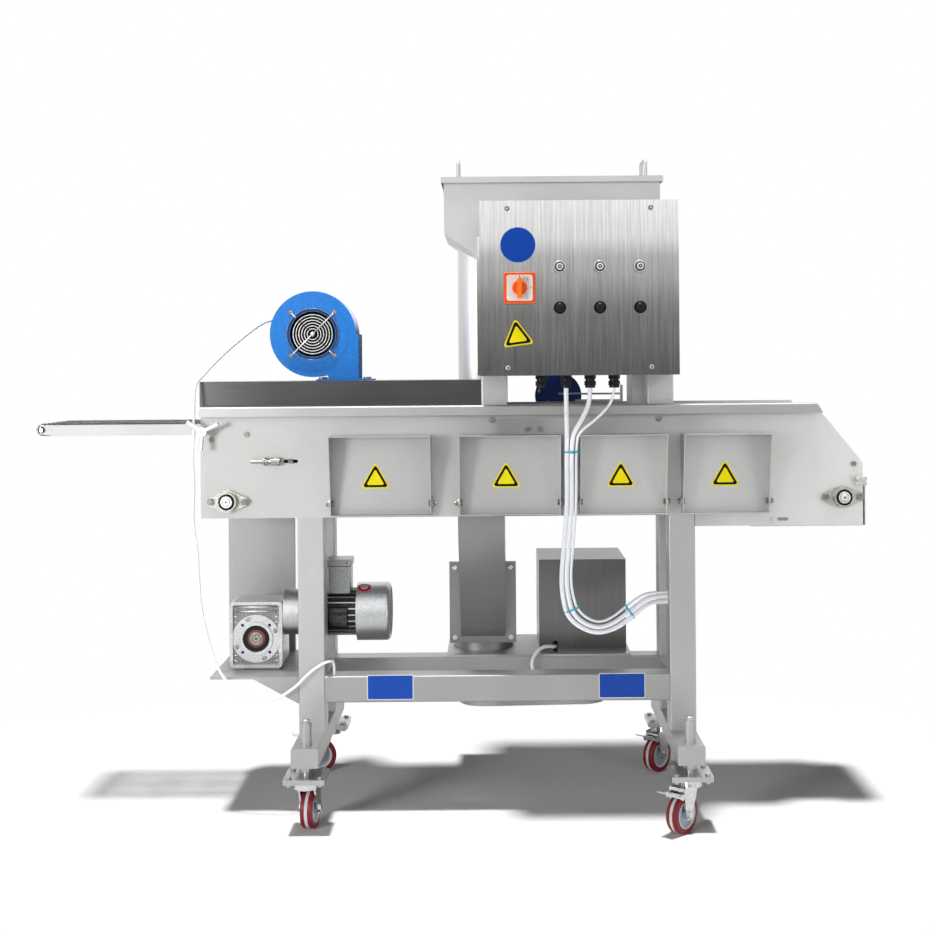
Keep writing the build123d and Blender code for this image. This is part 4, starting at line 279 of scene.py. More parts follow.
label_red = coated("label_red", (0.80, 0.006, 0.02), 0.35, strength=0.02, variation=0.02)
seal_brown = coated("seal_brown", (0.24, 0.06, 0.04), 0.45, variation=0.1)
knob_grey = coated("knob_grey", (0.60, 0.60, 0.58), 0.40, variation=0.05)
# Matte black for print, seals and plates, also used as painted shade in rings and holes on the shafts and
# gearbox.
matte_black_and_painted_shade = coated("matte_black_and_painted_shade", (0.006, 0.006, 0.006), 0.5, strength=0.02, specular=0.1)
label_blue = coated("label_blue", (0.0, 0.058, 0.40), 0.35, strength=0.02, variation=0.03)
label_white = coated("label_white", (0.80, 0.80, 0.80), 0.35, strength=0.02, variation=0.02)


def paint(node, *materials):
    """Give a carried-over node its materials; the first one covers it all."""
    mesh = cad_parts[node].data
    mesh.materials.clear()
    for material in materials:
        mesh.materials.append(material)
    for polygon in mesh.polygons:
        polygon.material_index = 0


def repaint(node, slot, chosen):
    """Faces of a node that a test on their centre and normal picks get the slot's material."""
    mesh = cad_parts[node].data
    for polygon in mesh.polygons:
        if chosen(polygon.center, polygon.normal):
            polygon.material_index = slot


finishes = {
    plate_steel: ("front_side_plate", "rear_side_plate", "end_tray"),
    bracket_steel: ("drive_bracket",),
    door_steel: ("door_1", "door_2", "door_3", "door_4"),
    nose_steel: ("conveyor_bed",),
    hood_painted_dark_steel: ("blow_off_hood",),
    box_steel: ("control_box", "control_cover"),
    hopper_steel: ("hopper_lid", "elevator_auger"),
    cover_steel: ("motor_cover",),
    belt_steel: ("mesh_belt",),
    chrome: ("nose_roller",),
    bolt_steel: ("fasteners",),
    bright_steel: ("clamp_handle", "drive_shaft", "tail_shaft"),
    bearing_cast: ("bearing_housings",),
    black_plastic: ("blower_impeller",),
    knob_grey: ("tray_knob",),
    switch_orange: ("switch_knob",),
}
for material, nodes in finishes.items():
    for node in nodes:
        paint(node, material)
# The frame is one steel: the rails and feet get darker copies as painted shade, the posts above 1.05 m a
# lighter copy as painted light.
paint("frame", frame_steel, rail_painted_shade_steel, foot_painted_shade_steel, post_painted_light_steel)
repaint("frame", 1, lambda centre, normal: 0.30 < centre.z < 0.372)
repaint("frame", 2, lambda centre, normal: centre.z < 0.285)
repaint("frame", 3, lambda centre, normal: centre.z > 1.05)
# Front plate: the rim above 1.05 m gets the rim's darker copy and the pieces in front of the plate below 0.86
# m the nose's darker copy, both painted shade.
paint("front_side_plate", plate_steel, nose_steel, rim_painted_shade_steel)
repaint("front_side_plate", 2, lambda centre, normal: centre.z > 1.05)
repaint("front_side_plate", 1, lambda centre, normal: centre.y < -0.158 and centre.z < 0.86)
caster_headings = {"front_left": 82.0, "front_right": 228.0, "rear_left": 199.0, "rear_right": 228.0}
wheel_axes = {}
for corner, heading in caster_headings.items():
    paint(f"jack_{corner}", pad_steel)
    paint(f"caster_fork_{corner}", chrome)
    paint(f"brake_pedal_{corner}", chrome)
    paint(f"caster_wheel_{corner}", tyre_red, hub_grey)
    wheel_low, wheel_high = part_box(f"caster_wheel_{corner}")
    wheel_centre = (Vector(wheel_low) + Vector(wheel_high)) / 2
    turn = math.radians(heading)
    wheel_axis = Vector((-math.sin(turn), math.cos(turn), 0))
    wheel_axes[corner] = (wheel_centre, wheel_axis)

    def on_hub(centre, normal, middle=wheel_centre, axle=wheel_axis):
        """Whether a face of the wheel is within its hub."""
        away = Vector(centre) - middle
        return (away - axle * away.dot(axle)).length < 0.0368

    repaint(f"caster_wheel_{corner}", 1, on_hub)
for number in range(1, 7):
    paint(f"button_{number}", lens_clear if number < 4 else black_plastic)

paint("hopper_and_feeder", hopper_steel, feeder_blue)
repaint("hopper_and_feeder", 1, lambda centre, normal: centre.y > 0.189 and centre.z < 1.18 and
        centre.x < 0.373)
# The elevator is one steel in two tones: the chute dark as painted shade, the tube above 0.64 m at the back
# light as painted light; the chute's side edges get bright steel.
paint("elevator_tube", chute_painted_shade_steel, tube_painted_light_steel, bright_steel)
repaint("elevator_tube", 1, lambda centre, normal: centre.z > 0.64 and centre.y > 0.16)
repaint("elevator_tube", 2, lambda centre, normal: centre.y < 0.1455 and 0.380 < centre.z < 0.620 and
        (centre.x < 0.0085 or centre.x > 0.1525))
paint("elevator_drive", plate_steel, aluminium_cast, black_plastic)
motor_axis = (0.014, 0.518)


def off_motor_axis(centre):
    """Distance of a place from the motor's axis."""
    return math.hypot(centre.y - motor_axis[0], centre.z - motor_axis[1])


paint("gearmotor", aluminium_cast, gear_cast, gear_recess, fin_gap_painted_shade, terminal_cast)
repaint("gearmotor", 1, lambda centre, normal: centre.x < -0.44)
repaint("gearmotor", 2, lambda centre, normal: centre.x < -0.47 and normal.y < -0.9 and
        -0.0425 < centre.y < -0.0415)
# Painted shade: the gaps between the motor's fins are near black; the same near-black also covers the motor's
# right end face within 66 mm of its axis.
repaint("gearmotor", 3, lambda centre, normal: -0.44 < centre.x < -0.262 and
        off_motor_axis(centre) < 0.0608)
repaint("gearmotor", 3, lambda centre, normal: normal.x > 0.95 and centre.x > -0.172 and
        off_motor_axis(centre) < 0.066)
repaint("gearmotor", 4, lambda centre, normal: -0.345 < centre.x < -0.275 and centre.z > 0.584)
paint("gearbox_shaft", bolt_steel)
scroll_x, scroll_z, scroll_face = -0.374, 1.282, -0.037
paint("blower_housing", blower_blue, bright_steel, matte_black_and_painted_shade)


def on_grille(centre, normal):
    """Whether a face belongs to the wires over the blower's inlet."""
    return math.hypot(centre.x - scroll_x, centre.z - scroll_z) < 0.0605 and centre.y < scroll_face + 0.0005


repaint("blower_housing", 1, on_grille)
repaint("blower_housing", 2, lambda centre, normal: on_grille(centre, normal) and
        abs(centre.x - scroll_x + centre.z - scroll_z) < 0.0017)
paint("control_fittings", black_plastic, switch_orange)
repaint("control_fittings", 1, lambda centre, normal: centre.z > 1.30 and centre.x < 0.24)


# Shared helpers for new pieces


full_turn = 2 * math.pi
forward, right_x, up_z = (0, -1, 0), (1, 0, 0), (0, 0, 1)
corner_steps = 6


def placed(name, data):
    """Object for some data, linked into the scene."""
    item = bpy.data.objects.new(name, data)
    bpy.context.scene.collection.objects.link(item)
    return item


def finish_mesh(name, work, material, body):
    """Turn work into an object with its material, riding on a body."""
    bmesh.ops.recalc_face_normals(work, faces=work.faces)
    mesh = bpy.data.meshes.new(name)
    work.to_mesh(mesh)
    work.free()
    mesh.materials.append(material)
    piece = placed(name, mesh)
    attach(piece, body)
    return piece


def around(radius, angle):
    """Point of a circle round the origin."""
    return radius * math.cos(angle), radius * math.sin(angle)


def rounded_loop(corner_points, arc_step=None):
    """Closed line through corners given as x, z and radius, with arcs at the corners."""
    line = []
    count = len(corner_points)
    for index, (x, z, radius) in enumerate(corner_points):
        here = Vector((x, z))
        before = (Vector(corner_points[index - 1][:2]) - here).normalized()
        after = (Vector(corner_points[(index + 1) % count][:2]) - here).normalized()
        half = before.angle(after) / 2
        reach = radius / math.tan(half)
        centre = here + (before + after).normalized() * (radius / math.sin(half))
        start = here + before * reach - centre
        turn = start.angle_signed(here + after * reach - centre)
        steps = max(2, math.ceil(abs(turn) * radius / arc_step)) if arc_step else corner_steps
        line.extend(centre + Matrix.Rotation(-turn * step / steps, 2) @ start for step in range(steps + 1))
    return line


def rounded(corners, radius):
    """Outline with its corners rounded, from the corner points in order."""
    return [tuple(point) for point in rounded_loop([(x, z, radius) for x, z in corners])]


def rectangle(half_width, half_height):
    """Corners of a rectangle round the origin."""
    return ((-half_width, -half_height), (half_width, -half_height), (half_width, half_height),
            (-half_width, half_height))


def box_outline(half_width, half_height, radius):
    """Rounded rectangle round the origin."""
    return rounded(rectangle(half_width, half_height), radius)


# Cables: the routes of the machine's own cables, as smooth lines


def smooth_curve(name, points, diameter, material):
    """Round tube along a NURBS line through its control points."""
    curve = bpy.data.curves.new(name, "CURVE")
    curve.dimensions = "3D"
    curve.bevel_depth = diameter / 2
    curve.bevel_resolution = 5
    curve.use_fill_caps = True
    spline = curve.splines.new("NURBS")
    spline.points.add(len(points) - 1)
    for point, place in zip(spline.points, points):
        point.co = (*place, 1)
    spline.order_u = 3
    spline.use_endpoint_u = True
    spline.resolution_u = 10
    curve.materials.append(material)
    return placed(name, curve)


def cable(name, node, points, diameter):
    """Free cable in place of its plain solid."""
    places = [tuple(value / 1000 for value in point) for point in points]
    piece = smooth_curve(name, places, diameter, cable_grey)
    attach(piece, "base")
    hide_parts(node)


panel_cables = (
    (
        0.012, 0.92,
        (
            (305, -237, 1133), (305, -237, 1095), (307, -230, 1020), (307, -205, 965), (307, -192, 930),
            (308, -192, 839), (304, -192, 780), (298, -192, 713), (291, -192, 640), (294, -192, 585),
            (308, -188, 527), (372, -177, 486), (432, -162, 494), (480, -152, 527), (524, -130, 558),
            (551, -107, 558), (579, -107, 558),
        ),
    ),
    (
        0.012, 0.91,
        (
            (367, -237, 1133), (367, -237, 1098), (348, -237, 1056), (322, -232, 1015),
            (320.5, -210, 975), (320, -192, 940), (321, -192, 839), (317, -192, 780),
            (311, -192, 713), (304, -192, 640), (308, -192, 588), (322, -188, 535), (377, -177, 500),
            (427, -162, 508), (472, -152, 540), (518, -130, 572), (551, -107, 572), (579, -107, 572),
        ),
    ),
    (
        0.007, 0.91,
        (
            (429, -237, 1133), (429, -237, 1102), (388, -237, 1056), (336, -234, 1018),
            (332.5, -212, 985), (332.5, -192, 950), (332, -192, 839), (328, -192, 780),
            (322, -192, 713), (315, -192, 640), (320, -192, 592), (334, -188, 547), (380, -177, 515),
            (421, -162, 522), (464, -152, 554), (512, -130, 583), (551, -107, 583), (579, -107, 583),
        ),
    ),
)
blower_cable = (
    (-470, 138, 1320), (-495, 138, 1320), (-522, 100, 1328), (-600, 8, 1254), (-647, -82, 1192),
    (-660, -104, 1170), (-674, -142, 1150), (-674, -154, 1090), (-675, -154, 1011), (-679, -156, 951),
    (-673, -160, 889), (-679, -157, 782), (-667, -157, 717), (-665, -157, 644), (-659, -157, 555),
    (-643, -157, 485), (-626, -159, 424), (-599, -162, 372), (-560, -164, 332), (-511, -165, 310),
    (-462, -166, 316), (-410, -165, 349), (-376, -160, 385), (-342, -157, 408), (-320, -145, 414),
    (-312, -122, 405), (-312, -122, 372),
)
drive_cable = (
    (295.2, 255.5, 398), (275, 255.5, 398), (275, 190, 396), (288, 160, 393), (288, 122, 393),
    (274, 108, 398), (250, 88, 401), (226, 72, 384), (217, 63, 356), (226, 63, 332), (234, 72, 325),
    (234, 95, 325),
)
for number, (diameter, length, points) in enumerate(panel_cables, start=1):
    cable(f"panel_cable_skin_{number}", f"panel_cable_{number}", points, diameter)
cable("blower_cable_skin", "blower_cable", blower_cable, 0.007)
cable("drive_cable_skin", "drive_cable", drive_cable, 0.010)


# Blank plates where the machine carries its signs


def plate_mesh(name, outline, thickness, origin, material, body, right=right_x, up=up_z):
    """Thin flat plate with a given outline, standing on a face at origin, spanned by right and up."""
    right, up = Vector(right), Vector(up)
    out = right.cross(up)
    work = bmesh.new()
    base = [work.verts.new(Vector(origin) + right * x + up * z) for x, z in outline]
    grown = bmesh.ops.extrude_face_region(work, geom=[work.faces.new(base)])
    front = [item for item in grown["geom"] if isinstance(item, bmesh.types.BMVert)]
    bmesh.ops.translate(work, verts=front, vec=out * thickness)
    return finish_mesh(name, work, material, body)


label_thickness = 0.0005
disc_steps = 64
triangle_side = 0.080


def blank_triangle(name, place, body, tilt=0.0):
    """Blank yellow triangle with its black edge band."""
    leaning = Matrix.Rotation(math.radians(tilt), 3, (0, -1, 0))
    right, up = leaning @ Vector(right_x), leaning @ Vector(up_z)
    parts = (("edge", 1.0, 0.0, label_yellow), ("band", 0.86, 1.0, matte_black_and_painted_shade),
             ("field", 0.60, 2.0, label_yellow))
    for part, scale, lift, material in parts:
        half, tall = triangle_side * scale / 2, triangle_side * 0.88 * scale
        corners = ((-half, -tall / 3), (half, -tall / 3), (0, tall - tall / 3))
        origin = (place[0], place[1] - lift * label_thickness, place[2])
        plate_mesh(f"{name}_{part}", rounded(corners, triangle_side * 0.07 * scale), label_thickness, origin,
                   material, body, right, up)


door_pan_y = front_y - 0.0023
cover_face_y = -0.344
manual_outline = [around(0.044, full_turn * step / disc_steps) for step in range(disc_steps)]
plate_mesh("manual_disc", manual_outline, label_thickness, (0.1815, cover_face_y, 1.494), label_blue, "base")
blank_triangle("box_triangle", (0.179, cover_face_y, 1.265), "base", tilt=7.5)
for number, x in ((1, -0.197), (2, 0.149), (3, 0.453), (4, 0.729)):
    blank_triangle(f"door_triangle_{number}", (x, door_pan_y, 0.893), f"door_{number}")
rail_border = rectangle(0.0615, 0.033)
rail_field = [(x * 0.965, z * 0.94) for x, z in rail_border]
rail_corner = 0.003
for side, x in (("left", -0.162), ("right", 0.452)):
    for part, outline, y, material in (("", rail_border, front_y, label_white),
                                       ("_field", rail_field, front_y - label_thickness, label_blue)):
        plate_mesh(f"rail_plate_{side}{part}", rounded(outline, rail_corner), label_thickness, (x, y, 0.342),
                   material, "base")


# Wire belt: cranked cross wires, each hooked round its neighbour, along the belt's path


wire_radius = 0.00095
link_pitch = 0.0106
link_spaces = 6
link_hook = 0.0042
nose_pitch_radius = 0.0148
drive_pitch_radius = 0.0363
shoe_pitch_radius = 0.0143
climb_bend = 0.120
top_run, under_run = nose_z + nose_pitch_radius, nose_z - nose_pitch_radius
low_run, drag_run = shaft_z + drive_pitch_radius, shaft_z - drive_pitch_radius
rise_x = drive_x - drive_pitch_radius
nose_end, tail_end = nose_x - nose_pitch_radius, tail_x + drive_pitch_radius
belt_corners = (
    (nose_end, top_run, nose_pitch_radius),
    (-0.380, top_run, climb_bend),
    (0.030, low_run, climb_bend),
    (tail_end, low_run, drive_pitch_radius),
    (tail_end, drag_run, drive_pitch_radius),
    (rise_x, drag_run, drive_pitch_radius),
    (rise_x, under_run, shoe_pitch_radius),
    (nose_end, under_run, nose_pitch_radius),
)


def walk(line, pitch):
    """Evenly spaced places along a closed line, with the direction of travel at each."""
    lengths = [(line[(index + 1) % len(line)] - line[index]).length for index in range(len(line))]
    total = sum(lengths)
    count = round(total / pitch)
    places = []
    index, passed = 0, 0.0
    for step in range(count):
        wanted = total * step / count
        while passed + lengths[index] < wanted:
            passed += lengths[index]
            index += 1
        ahead = (line[(index + 1) % len(line)] - line[index]).normalized()
        places.append((line[index] + ahead * (wanted - passed), ahead))
    return places


def tube_along(work, points, radius, sides=5):
    """Add a closed-ended tube through the points to a mesh in work."""
    rings = []
    for index, point in enumerate(points):
        ahead = (points[min(index + 1, len(points) - 1)] - points[max(index - 1, 0)]).normalized()
        side = ahead.orthogonal().normalized() if not rings else (side - ahead * side.dot(ahead)).normalized()
        across = ahead.cross(side)
        turns = [full_turn * turn / sides for turn in range(sides)]
        rings.append([
            work.verts.new(point + (side * math.cos(turn) + across * math.sin(turn)) * radius)
            for turn in turns
        ])
    for first, second in zip(rings, rings[1:]):
        for turn in range(sides):
            after = (turn + 1) % sides
            face = work.faces.new((first[turn], first[after], second[after], second[turn]))
            face.smooth = True
    work.faces.new(list(reversed(rings[0])))
    work.faces.new(rings[-1])


def wire_route(shift):
    """Route of one cross wire: across in y, along in u and up in w, hooked back once in every space."""
    space = belt_width / link_spaces
    route = [(-belt_width / 2, 0.0, 0.0)]
    lift = wire_radius * 1.02
    for joint in range(link_spaces):
        y = -belt_width / 2 + space * (joint + 0.5) + shift
        reach = link_pitch + wire_radius * 1.9
        half = link_hook / 2
        route.extend((
            (y - half - wire_radius, 0.0, 0.0), (y - half, wire_radius, lift),
            (y - half, reach - wire_radius, lift), (y - half / 3, reach, 0.0), (y + half / 3, reach, 0.0),
            (y + half, reach - wire_radius, -lift), (y + half, wire_radius, -lift),
            (y + half + wire_radius, 0.0, 0.0),
        ))
    route.append((belt_width / 2, 0.0, 0.0))
    return route


def end_loop(side):
    """Route of the closing loop at one edge of the belt."""
    edge = side * belt_width / 2
    return [
        (edge - side * 0.004, 0.0, 0.0), (edge, 0.0, wire_radius),
        (edge + side * 0.0012, link_pitch * 0.5, wire_radius), (edge, link_pitch, 0.0),
        (edge - side * 0.003, link_pitch + wire_radius, -wire_radius),
    ]


belt_work = bmesh.new()
belt_places = walk(rounded_loop(belt_corners, 0.004), link_pitch)
for step, (place, ahead) in enumerate(belt_places):
    outward = Vector((-ahead.y, ahead.x))
    following = belt_places[(step + 1) % len(belt_places)]
    for route in (wire_route(0.006 if step % 2 else -0.006), end_loop(-1), end_loop(1)):
        points = []
        for y, u, w in route:
            share = u / link_pitch
            middle = place.lerp(following[0], share)
            level = outward.lerp(Vector((-following[1].y, following[1].x)), min(share, 1.0)) * w
            points.append(Vector((middle.x + level.x, middle_y + y, middle.y + level.y)))
        tube_along(belt_work, points, wire_radius)
wire_belt = finish_mesh("wire_belt", belt_work, belt_steel, "base")
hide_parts("mesh_belt")

# Turned and moulded details


def lathe(name, profile, place, axis, material, body, closed=False, steps=48):
    """Turned piece from a profile of radius and height, standing at a place along an axis."""
    turn = Vector(up_z).rotation_difference(Vector(axis)).to_matrix().to_4x4()
    matrix = Matrix.Translation(Vector(place)) @ turn
    work = bmesh.new()
    rings = []
    for radius, height in profile:
        if radius == 0:
            rings.append([work.verts.new(matrix @ Vector((0, 0, height)))] * steps)
            continue
        rings.append([
            work.verts.new(matrix @ Vector((*around(radius, full_turn * step / steps), height)))
            for step in range(steps)
        ])
    pairs = list(zip(rings, rings[1:]))
    if closed:
        pairs.append((rings[-1], rings[0]))
    for first, second in pairs:
        for step in range(steps):
            ahead = (step + 1) % steps
            corners = list(dict.fromkeys((first[step], first[ahead], second[ahead], second[step])))
            if len(corners) > 2:
                work.faces.new(corners)
    return finish_mesh(name, work, material, body)


def flat_ring(name, inner, outer, depth, place, material, body, axis=forward):
    """Flat ring with slightly broken edges."""
    edge = min(depth, outer - inner) * 0.25
    profile = ((inner, 0), (outer, 0), (outer, depth - edge), (outer - edge, depth), (inner + edge, depth),
               (inner, depth - edge))
    lathe(name, profile, place, axis, material, body, closed=True)


def domed_screw(name, radius, height, place, material):
    """Low domed screw head with a socket in it, facing the operator."""
    socket = radius * 0.42
    profile = ((radius, 0), (radius, height * 0.45), (radius * 0.82, height * 0.85), (radius * 0.6, height),
               (socket, height), (socket * 0.9, height * 0.35), (0, height * 0.35))
    lathe(name, profile, place, forward, material, "base", steps=20)


# Bearings: seals on the housings; races, painted shade rings, and centres with painted shade holes on the
# shafts
back_y = 0.165
seal_rise, ring_rise, tip_rise = 0.0255, 0.0285, 0.0305
centre_profile = ((0.0095, 0), (0.0088, 0.0006), (0.0030, 0.0006), (0, 0.0001))
shaft_rings = (
    # Painted shade: the black ring inside the race marks the shaft end's edge, and the black ring outside it
    # is painted shadow.
    ("race", 0.0112, 0.0152, 0.0006, bright_steel, "fastener_steel"),
    ("edge_shade", 0.0101, 0.0111, 0.0003, matte_black_and_painted_shade, "black_plastic"),
    ("shadow", 0.0153, 0.0169, 0.0003, matte_black_and_painted_shade, "black_plastic"),
)
for end, x, shaft in (("drive", drive_x, "drive_shaft"), ("tail", tail_x, "tail_shaft")):
    for side, plate_y, way in (("front", front_y, -1), ("rear", back_y, 1)):
        axis = (0, way, 0)
        boss_face, ring_face, tip = (
            (x, plate_y + way * rise, shaft_z) for rise in (seal_rise, ring_rise, tip_rise)
        )
        flat_ring(f"seal_{end}_{side}", 0.0170, 0.0214, 0.0008, boss_face, matte_black_and_painted_shade, "base",
                  axis)
        for part, inner, outer, depth, material, slot in shaft_rings:
            flat_ring(f"{part}_{end}_{side}", inner, outer, depth, ring_face, material, shaft, axis)
        if end == "tail" or side == "front":
            lathe(f"centre_{end}_{side}", centre_profile, tip, axis, bright_steel, shaft,
                  steps=32)
            # The centre hole is a flat black disc: painted shade.
            lathe(f"centre_hole_{end}_{side}", ((0.0026, 0.0007), (0, 0.0007)), tip, axis, matte_black_and_painted_shade,
                  shaft, steps=24)

# Blower inlet: rings, grille arms with their screws, and hub
# The innermost ring, dark blue inside the trim, is painted shadow.
inlet_rings = (
    ("gap", 0.0638, 0.0690, 0.0040, dark_blue, "blower_blue"),
    ("trim", 0.0692, 0.0712, 0.0048, chrome, "fastener_steel"),
    ("seam", 0.0721, 0.0734, 0.0, dark_blue, "blower_blue"),
    ("line", 0.0952, 0.0966, 0.0, dark_blue, "blower_blue"),
)
for part, inner, outer, rise, material, slot in inlet_rings:
    flat_ring(f"inlet_{part}", inner, outer, 0.0006, (scroll_x, scroll_face - rise, scroll_z), material,
              "base")
inlet_centre = Vector((scroll_x, scroll_face, scroll_z))
arm_work = bmesh.new()
arm_rise, screw_reach = 0.0056, 0.0840
for step in range(4):
    x, z = around(1, math.radians(45 + 90 * step))
    along = Vector((x, 0, z))
    first = 0.004 if step % 2 == 0 else 0.064
    stations = ((first, arm_rise), (0.068, arm_rise), (0.074, arm_rise), (screw_reach, 0.0020))
    arm = [inlet_centre + along * far + Vector((0, -out, 0)) for far, out in stations]
    tube_along(arm_work, arm, 0.0015, sides=8)
    domed_screw(f"grille_screw_{step}", 0.0058, 0.0042, inlet_centre + along * screw_reach, brass)
finish_mesh("grille_arms", arm_work, bright_steel, "base")
lathe("grille_hub", ((0.0062, 0.0020), (0.0060, 0.0050), (0.0040, 0.0070), (0, 0.0074)), inlet_centre,
      forward, bright_steel, "base")
for number, (x, z) in enumerate(((0.262, 1.150), (0.250, 1.118), (0.276, 1.085), (0.336, 1.152))):
    domed_screw(f"feeder_screw_{number}", 0.0055, 0.0045, (x, 0.1900, z), wire_steel)

# Isolator face, push buttons and cover screws
knob_x, knob_z = 0.185, 1.386
plate_mesh("isolator_face", box_outline(0.0325, 0.0325, 0.006), 0.0008,
           (knob_x, cover_face_y - 0.0120, knob_z), switch_white, "base")
mark_face = Vector((knob_x, cover_face_y - 0.0128, knob_z))
for number, angle in enumerate((0, 45, 90)):
    x, z = around(0.0290, math.radians(90 - angle))
    plate_mesh(f"isolator_mark_{number}", rectangle(0.0007, 0.0022), 0.0002, mark_face + Vector((x, 0, z)),
               matte_black_and_painted_shade, "base")
cap_profile = ((0.0100, 0), (0.0100, 0.0006), (0.0088, 0.0016), (0.0056, 0.0024), (0, 0.0026))
# On the lit buttons, the small bright dot in the lens middle is a painted highlight.
lens_rings = (
    ("ring", 0.0004, 0.0050, 0.0030, black_plastic, "button_plastic"),
    ("rim", 0.0088, 0.0116, 0.0020, black_plastic, "button_plastic"),
    ("painted_highlight", 0.0004, 0.0022, 0.0033, bright_steel, "lens_white"),
)
for number in range(1, 7):
    button = f"button_{number}"
    low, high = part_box(button)
    middle = ((low.x + high.x) / 2, low.y, (low.z + high.z) / 2)
    cap_finish, cap_slot, collar_finish, rings = (
        (lens_clear, "lens_white", bright_steel, lens_rings) if number < 4
        else (black_plastic, "button_plastic", matte_black_and_painted_shade, ())
    )
    lathe(f"button_cap_{number}", cap_profile, middle, forward, cap_finish, button)
    for part, inner, outer, depth, material, slot in rings:
        flat_ring(f"button_{part}_{number}", inner, outer, depth, middle, material, button)
    collar_place = (middle[0], cover_face_y - 0.0050, middle[2])
    flat_ring(f"button_collar_{number}", 0.0125, 0.0152, 0.0014, collar_place, collar_finish, "base")
for number, (x, z) in enumerate(((0.155, 1.186), (0.515, 1.186), (0.155, 1.585), (0.515, 1.585))):
    domed_screw(f"cover_screw_{number}", 0.0062, 0.0036, (x, cover_face_y, z),
                dark_steel if z > 1.4 else wire_steel)


def bar_mesh(name, corners, depth, origin, edge, material, body):
    """Upright bar standing forward from a face, with its edges broken."""
    work = bmesh.new()
    base = [work.verts.new(Vector(origin) + Vector((x, 0, z))) for x, z in corners]
    grown = bmesh.ops.extrude_face_region(work, geom=[work.faces.new(base)])
    front = [item for item in grown["geom"] if isinstance(item, bmesh.types.BMVert)]
    bmesh.ops.translate(work, verts=front, vec=Vector((0, -depth, 0)))
    bmesh.ops.bevel(work, geom=list(work.edges), offset=edge, segments=2, affect="EDGES")
    return finish_mesh(name, work, material, body)


knob_y, knob_depth = cover_face_y - 0.0130, 0.0080
knob_profile = ((0.0185, 0), (0.0185, 0.0060), (0.0170, knob_depth), (0, knob_depth))
grip_corners = ((-0.0062, -0.0280), (0.0062, -0.0280), (0.0062, 0.0200), (0.0, 0.0270), (-0.0062, 0.0200))
knob_disc = lathe("switch_knob_disc", knob_profile, (knob_x, knob_y, knob_z), forward, switch_orange,
                  "switch_knob")
grip = bar_mesh("switch_knob_grip", grip_corners, 0.0140, (knob_x, knob_y - knob_depth, knob_z), 0.0014,
                grip_orange, "switch_knob")
for piece in (knob_disc, grip):
    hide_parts("switch_knob")

# Gearbox front, motor plates and the wheels' pale bands


def rim_mesh(name, outer, inner, depth, origin, material, body):
    """Flat frame between two outlines of as many points, standing forward from a face."""
    work = bmesh.new()
    loops = [
        [work.verts.new(Vector(origin) + Vector((x, -out, z))) for x, z in outline]
        for outline, out in ((outer, 0), (outer, depth), (inner, depth), (inner, 0))
    ]
    count = len(outer)
    for first, second in zip(loops, loops[1:] + loops[:1]):
        for step in range(count):
            after = (step + 1) % count
            work.faces.new((first[step], first[after], second[after], second[step]))
    finish_mesh(name, work, material, body)


gear_x, gear_z, gear_front, seal_front, flange_front = -0.533, 0.455, -0.0420, -0.0430, -0.0460
gear_low, gear_high = 0.376, 0.556
rim_mesh("gearbox_rim", box_outline(0.0712, 0.0895, 0.011), box_outline(0.0630, 0.0810, 0.005), 0.0070,
         (gear_x, gear_front, (gear_low + gear_high) / 2), gear_cast, "base")
gear_rings = (
    ("seal", 0.0242, 0.0358, 0.0014, seal_front, black_plastic, "base", "black_plastic"),
    ("lip", 0.0176, 0.0242, 0.0010, seal_front, seal_brown, "base", "black_plastic"),
    ("boss", 0.0362, 0.0460, 0.0030, flange_front, gear_cast, "base", "cast_aluminium"),
    ("shaft_groove", 0.0104, 0.0122, 0.0003, flange_front, dark_steel, "gearbox_shaft", "fastener_steel"),
    ("shaft_centre", 0.0004, 0.0036, 0.0003, flange_front, dark_steel, "gearbox_shaft", "fastener_steel"),
)
for part, inner, outer, depth, y, material, body, slot in gear_rings:
    flat_ring(f"gearbox_{part}", inner, outer, depth, (gear_x, y, gear_z), material, body)
rib_work = bmesh.new()
ribs = [(-0.055, 0.055, z, 0.0034) for z in (0.529, 0.541)]
ribs += [(side * 0.050, side * 0.063, z, 0.0028) for side in (-1, 1) for z in (0.395, 0.410, 0.500, 0.515)]
for start, stop, z, radius in ribs:
    ends = [Vector((gear_x + x, gear_front - 0.001, z)) for x in (start, stop)]
    tube_along(rib_work, ends, radius, sides=8)
finish_mesh("gearbox_ribs", rib_work, gear_cast, "base")
# The flange's holes are flat black discs: painted shade.
for step in range(4):
    x, z = around(0.0520, math.radians(45 + 90 * step))
    flat_ring(f"gearbox_hole_{step}", 0.0004, 0.0040, 0.0003, (gear_x + x, flange_front - 0.0001, gear_z + z),
              matte_black_and_painted_shade, "base")
for step in range(8):
    x, z = around(0.0565, math.radians(45 * step + (21 if step % 2 == 0 else -21)))
    domed_screw(f"gearbox_screw_{step}", 0.0052, 0.0040, (gear_x + x, flange_front, gear_z + z), wire_steel)


def wrapped(name, rows, radius, x, tilt, material):
    """Thin skin laid on the motor's round body, from rows of places along it and round it."""
    work = bmesh.new()
    grid = []
    for row in rows:
        grid.append([])
        for along, distance in row:
            drop, rise = around(radius, math.radians(tilt) + distance / radius)
            grid[-1].append(work.verts.new((x + along, motor_axis[0] - drop, motor_axis[1] + rise)))
    for first, second in zip(grid, grid[1:]):
        for step in range(len(first) - 1):
            work.faces.new((first[step], first[step + 1], second[step + 1], second[step]))
    bmesh.ops.solidify(work, geom=work.faces, thickness=0.0006)
    finish_mesh(name, work, material, "base")


def polar_rows(inner, outer, steps=32):
    """Rows of a flat ring, for a round sticker."""
    reach = [inner + (outer - inner) * step / 3 for step in range(4)]
    return [[around(radius, full_turn * step / steps) for step in range(steps + 1)] for radius in reach]


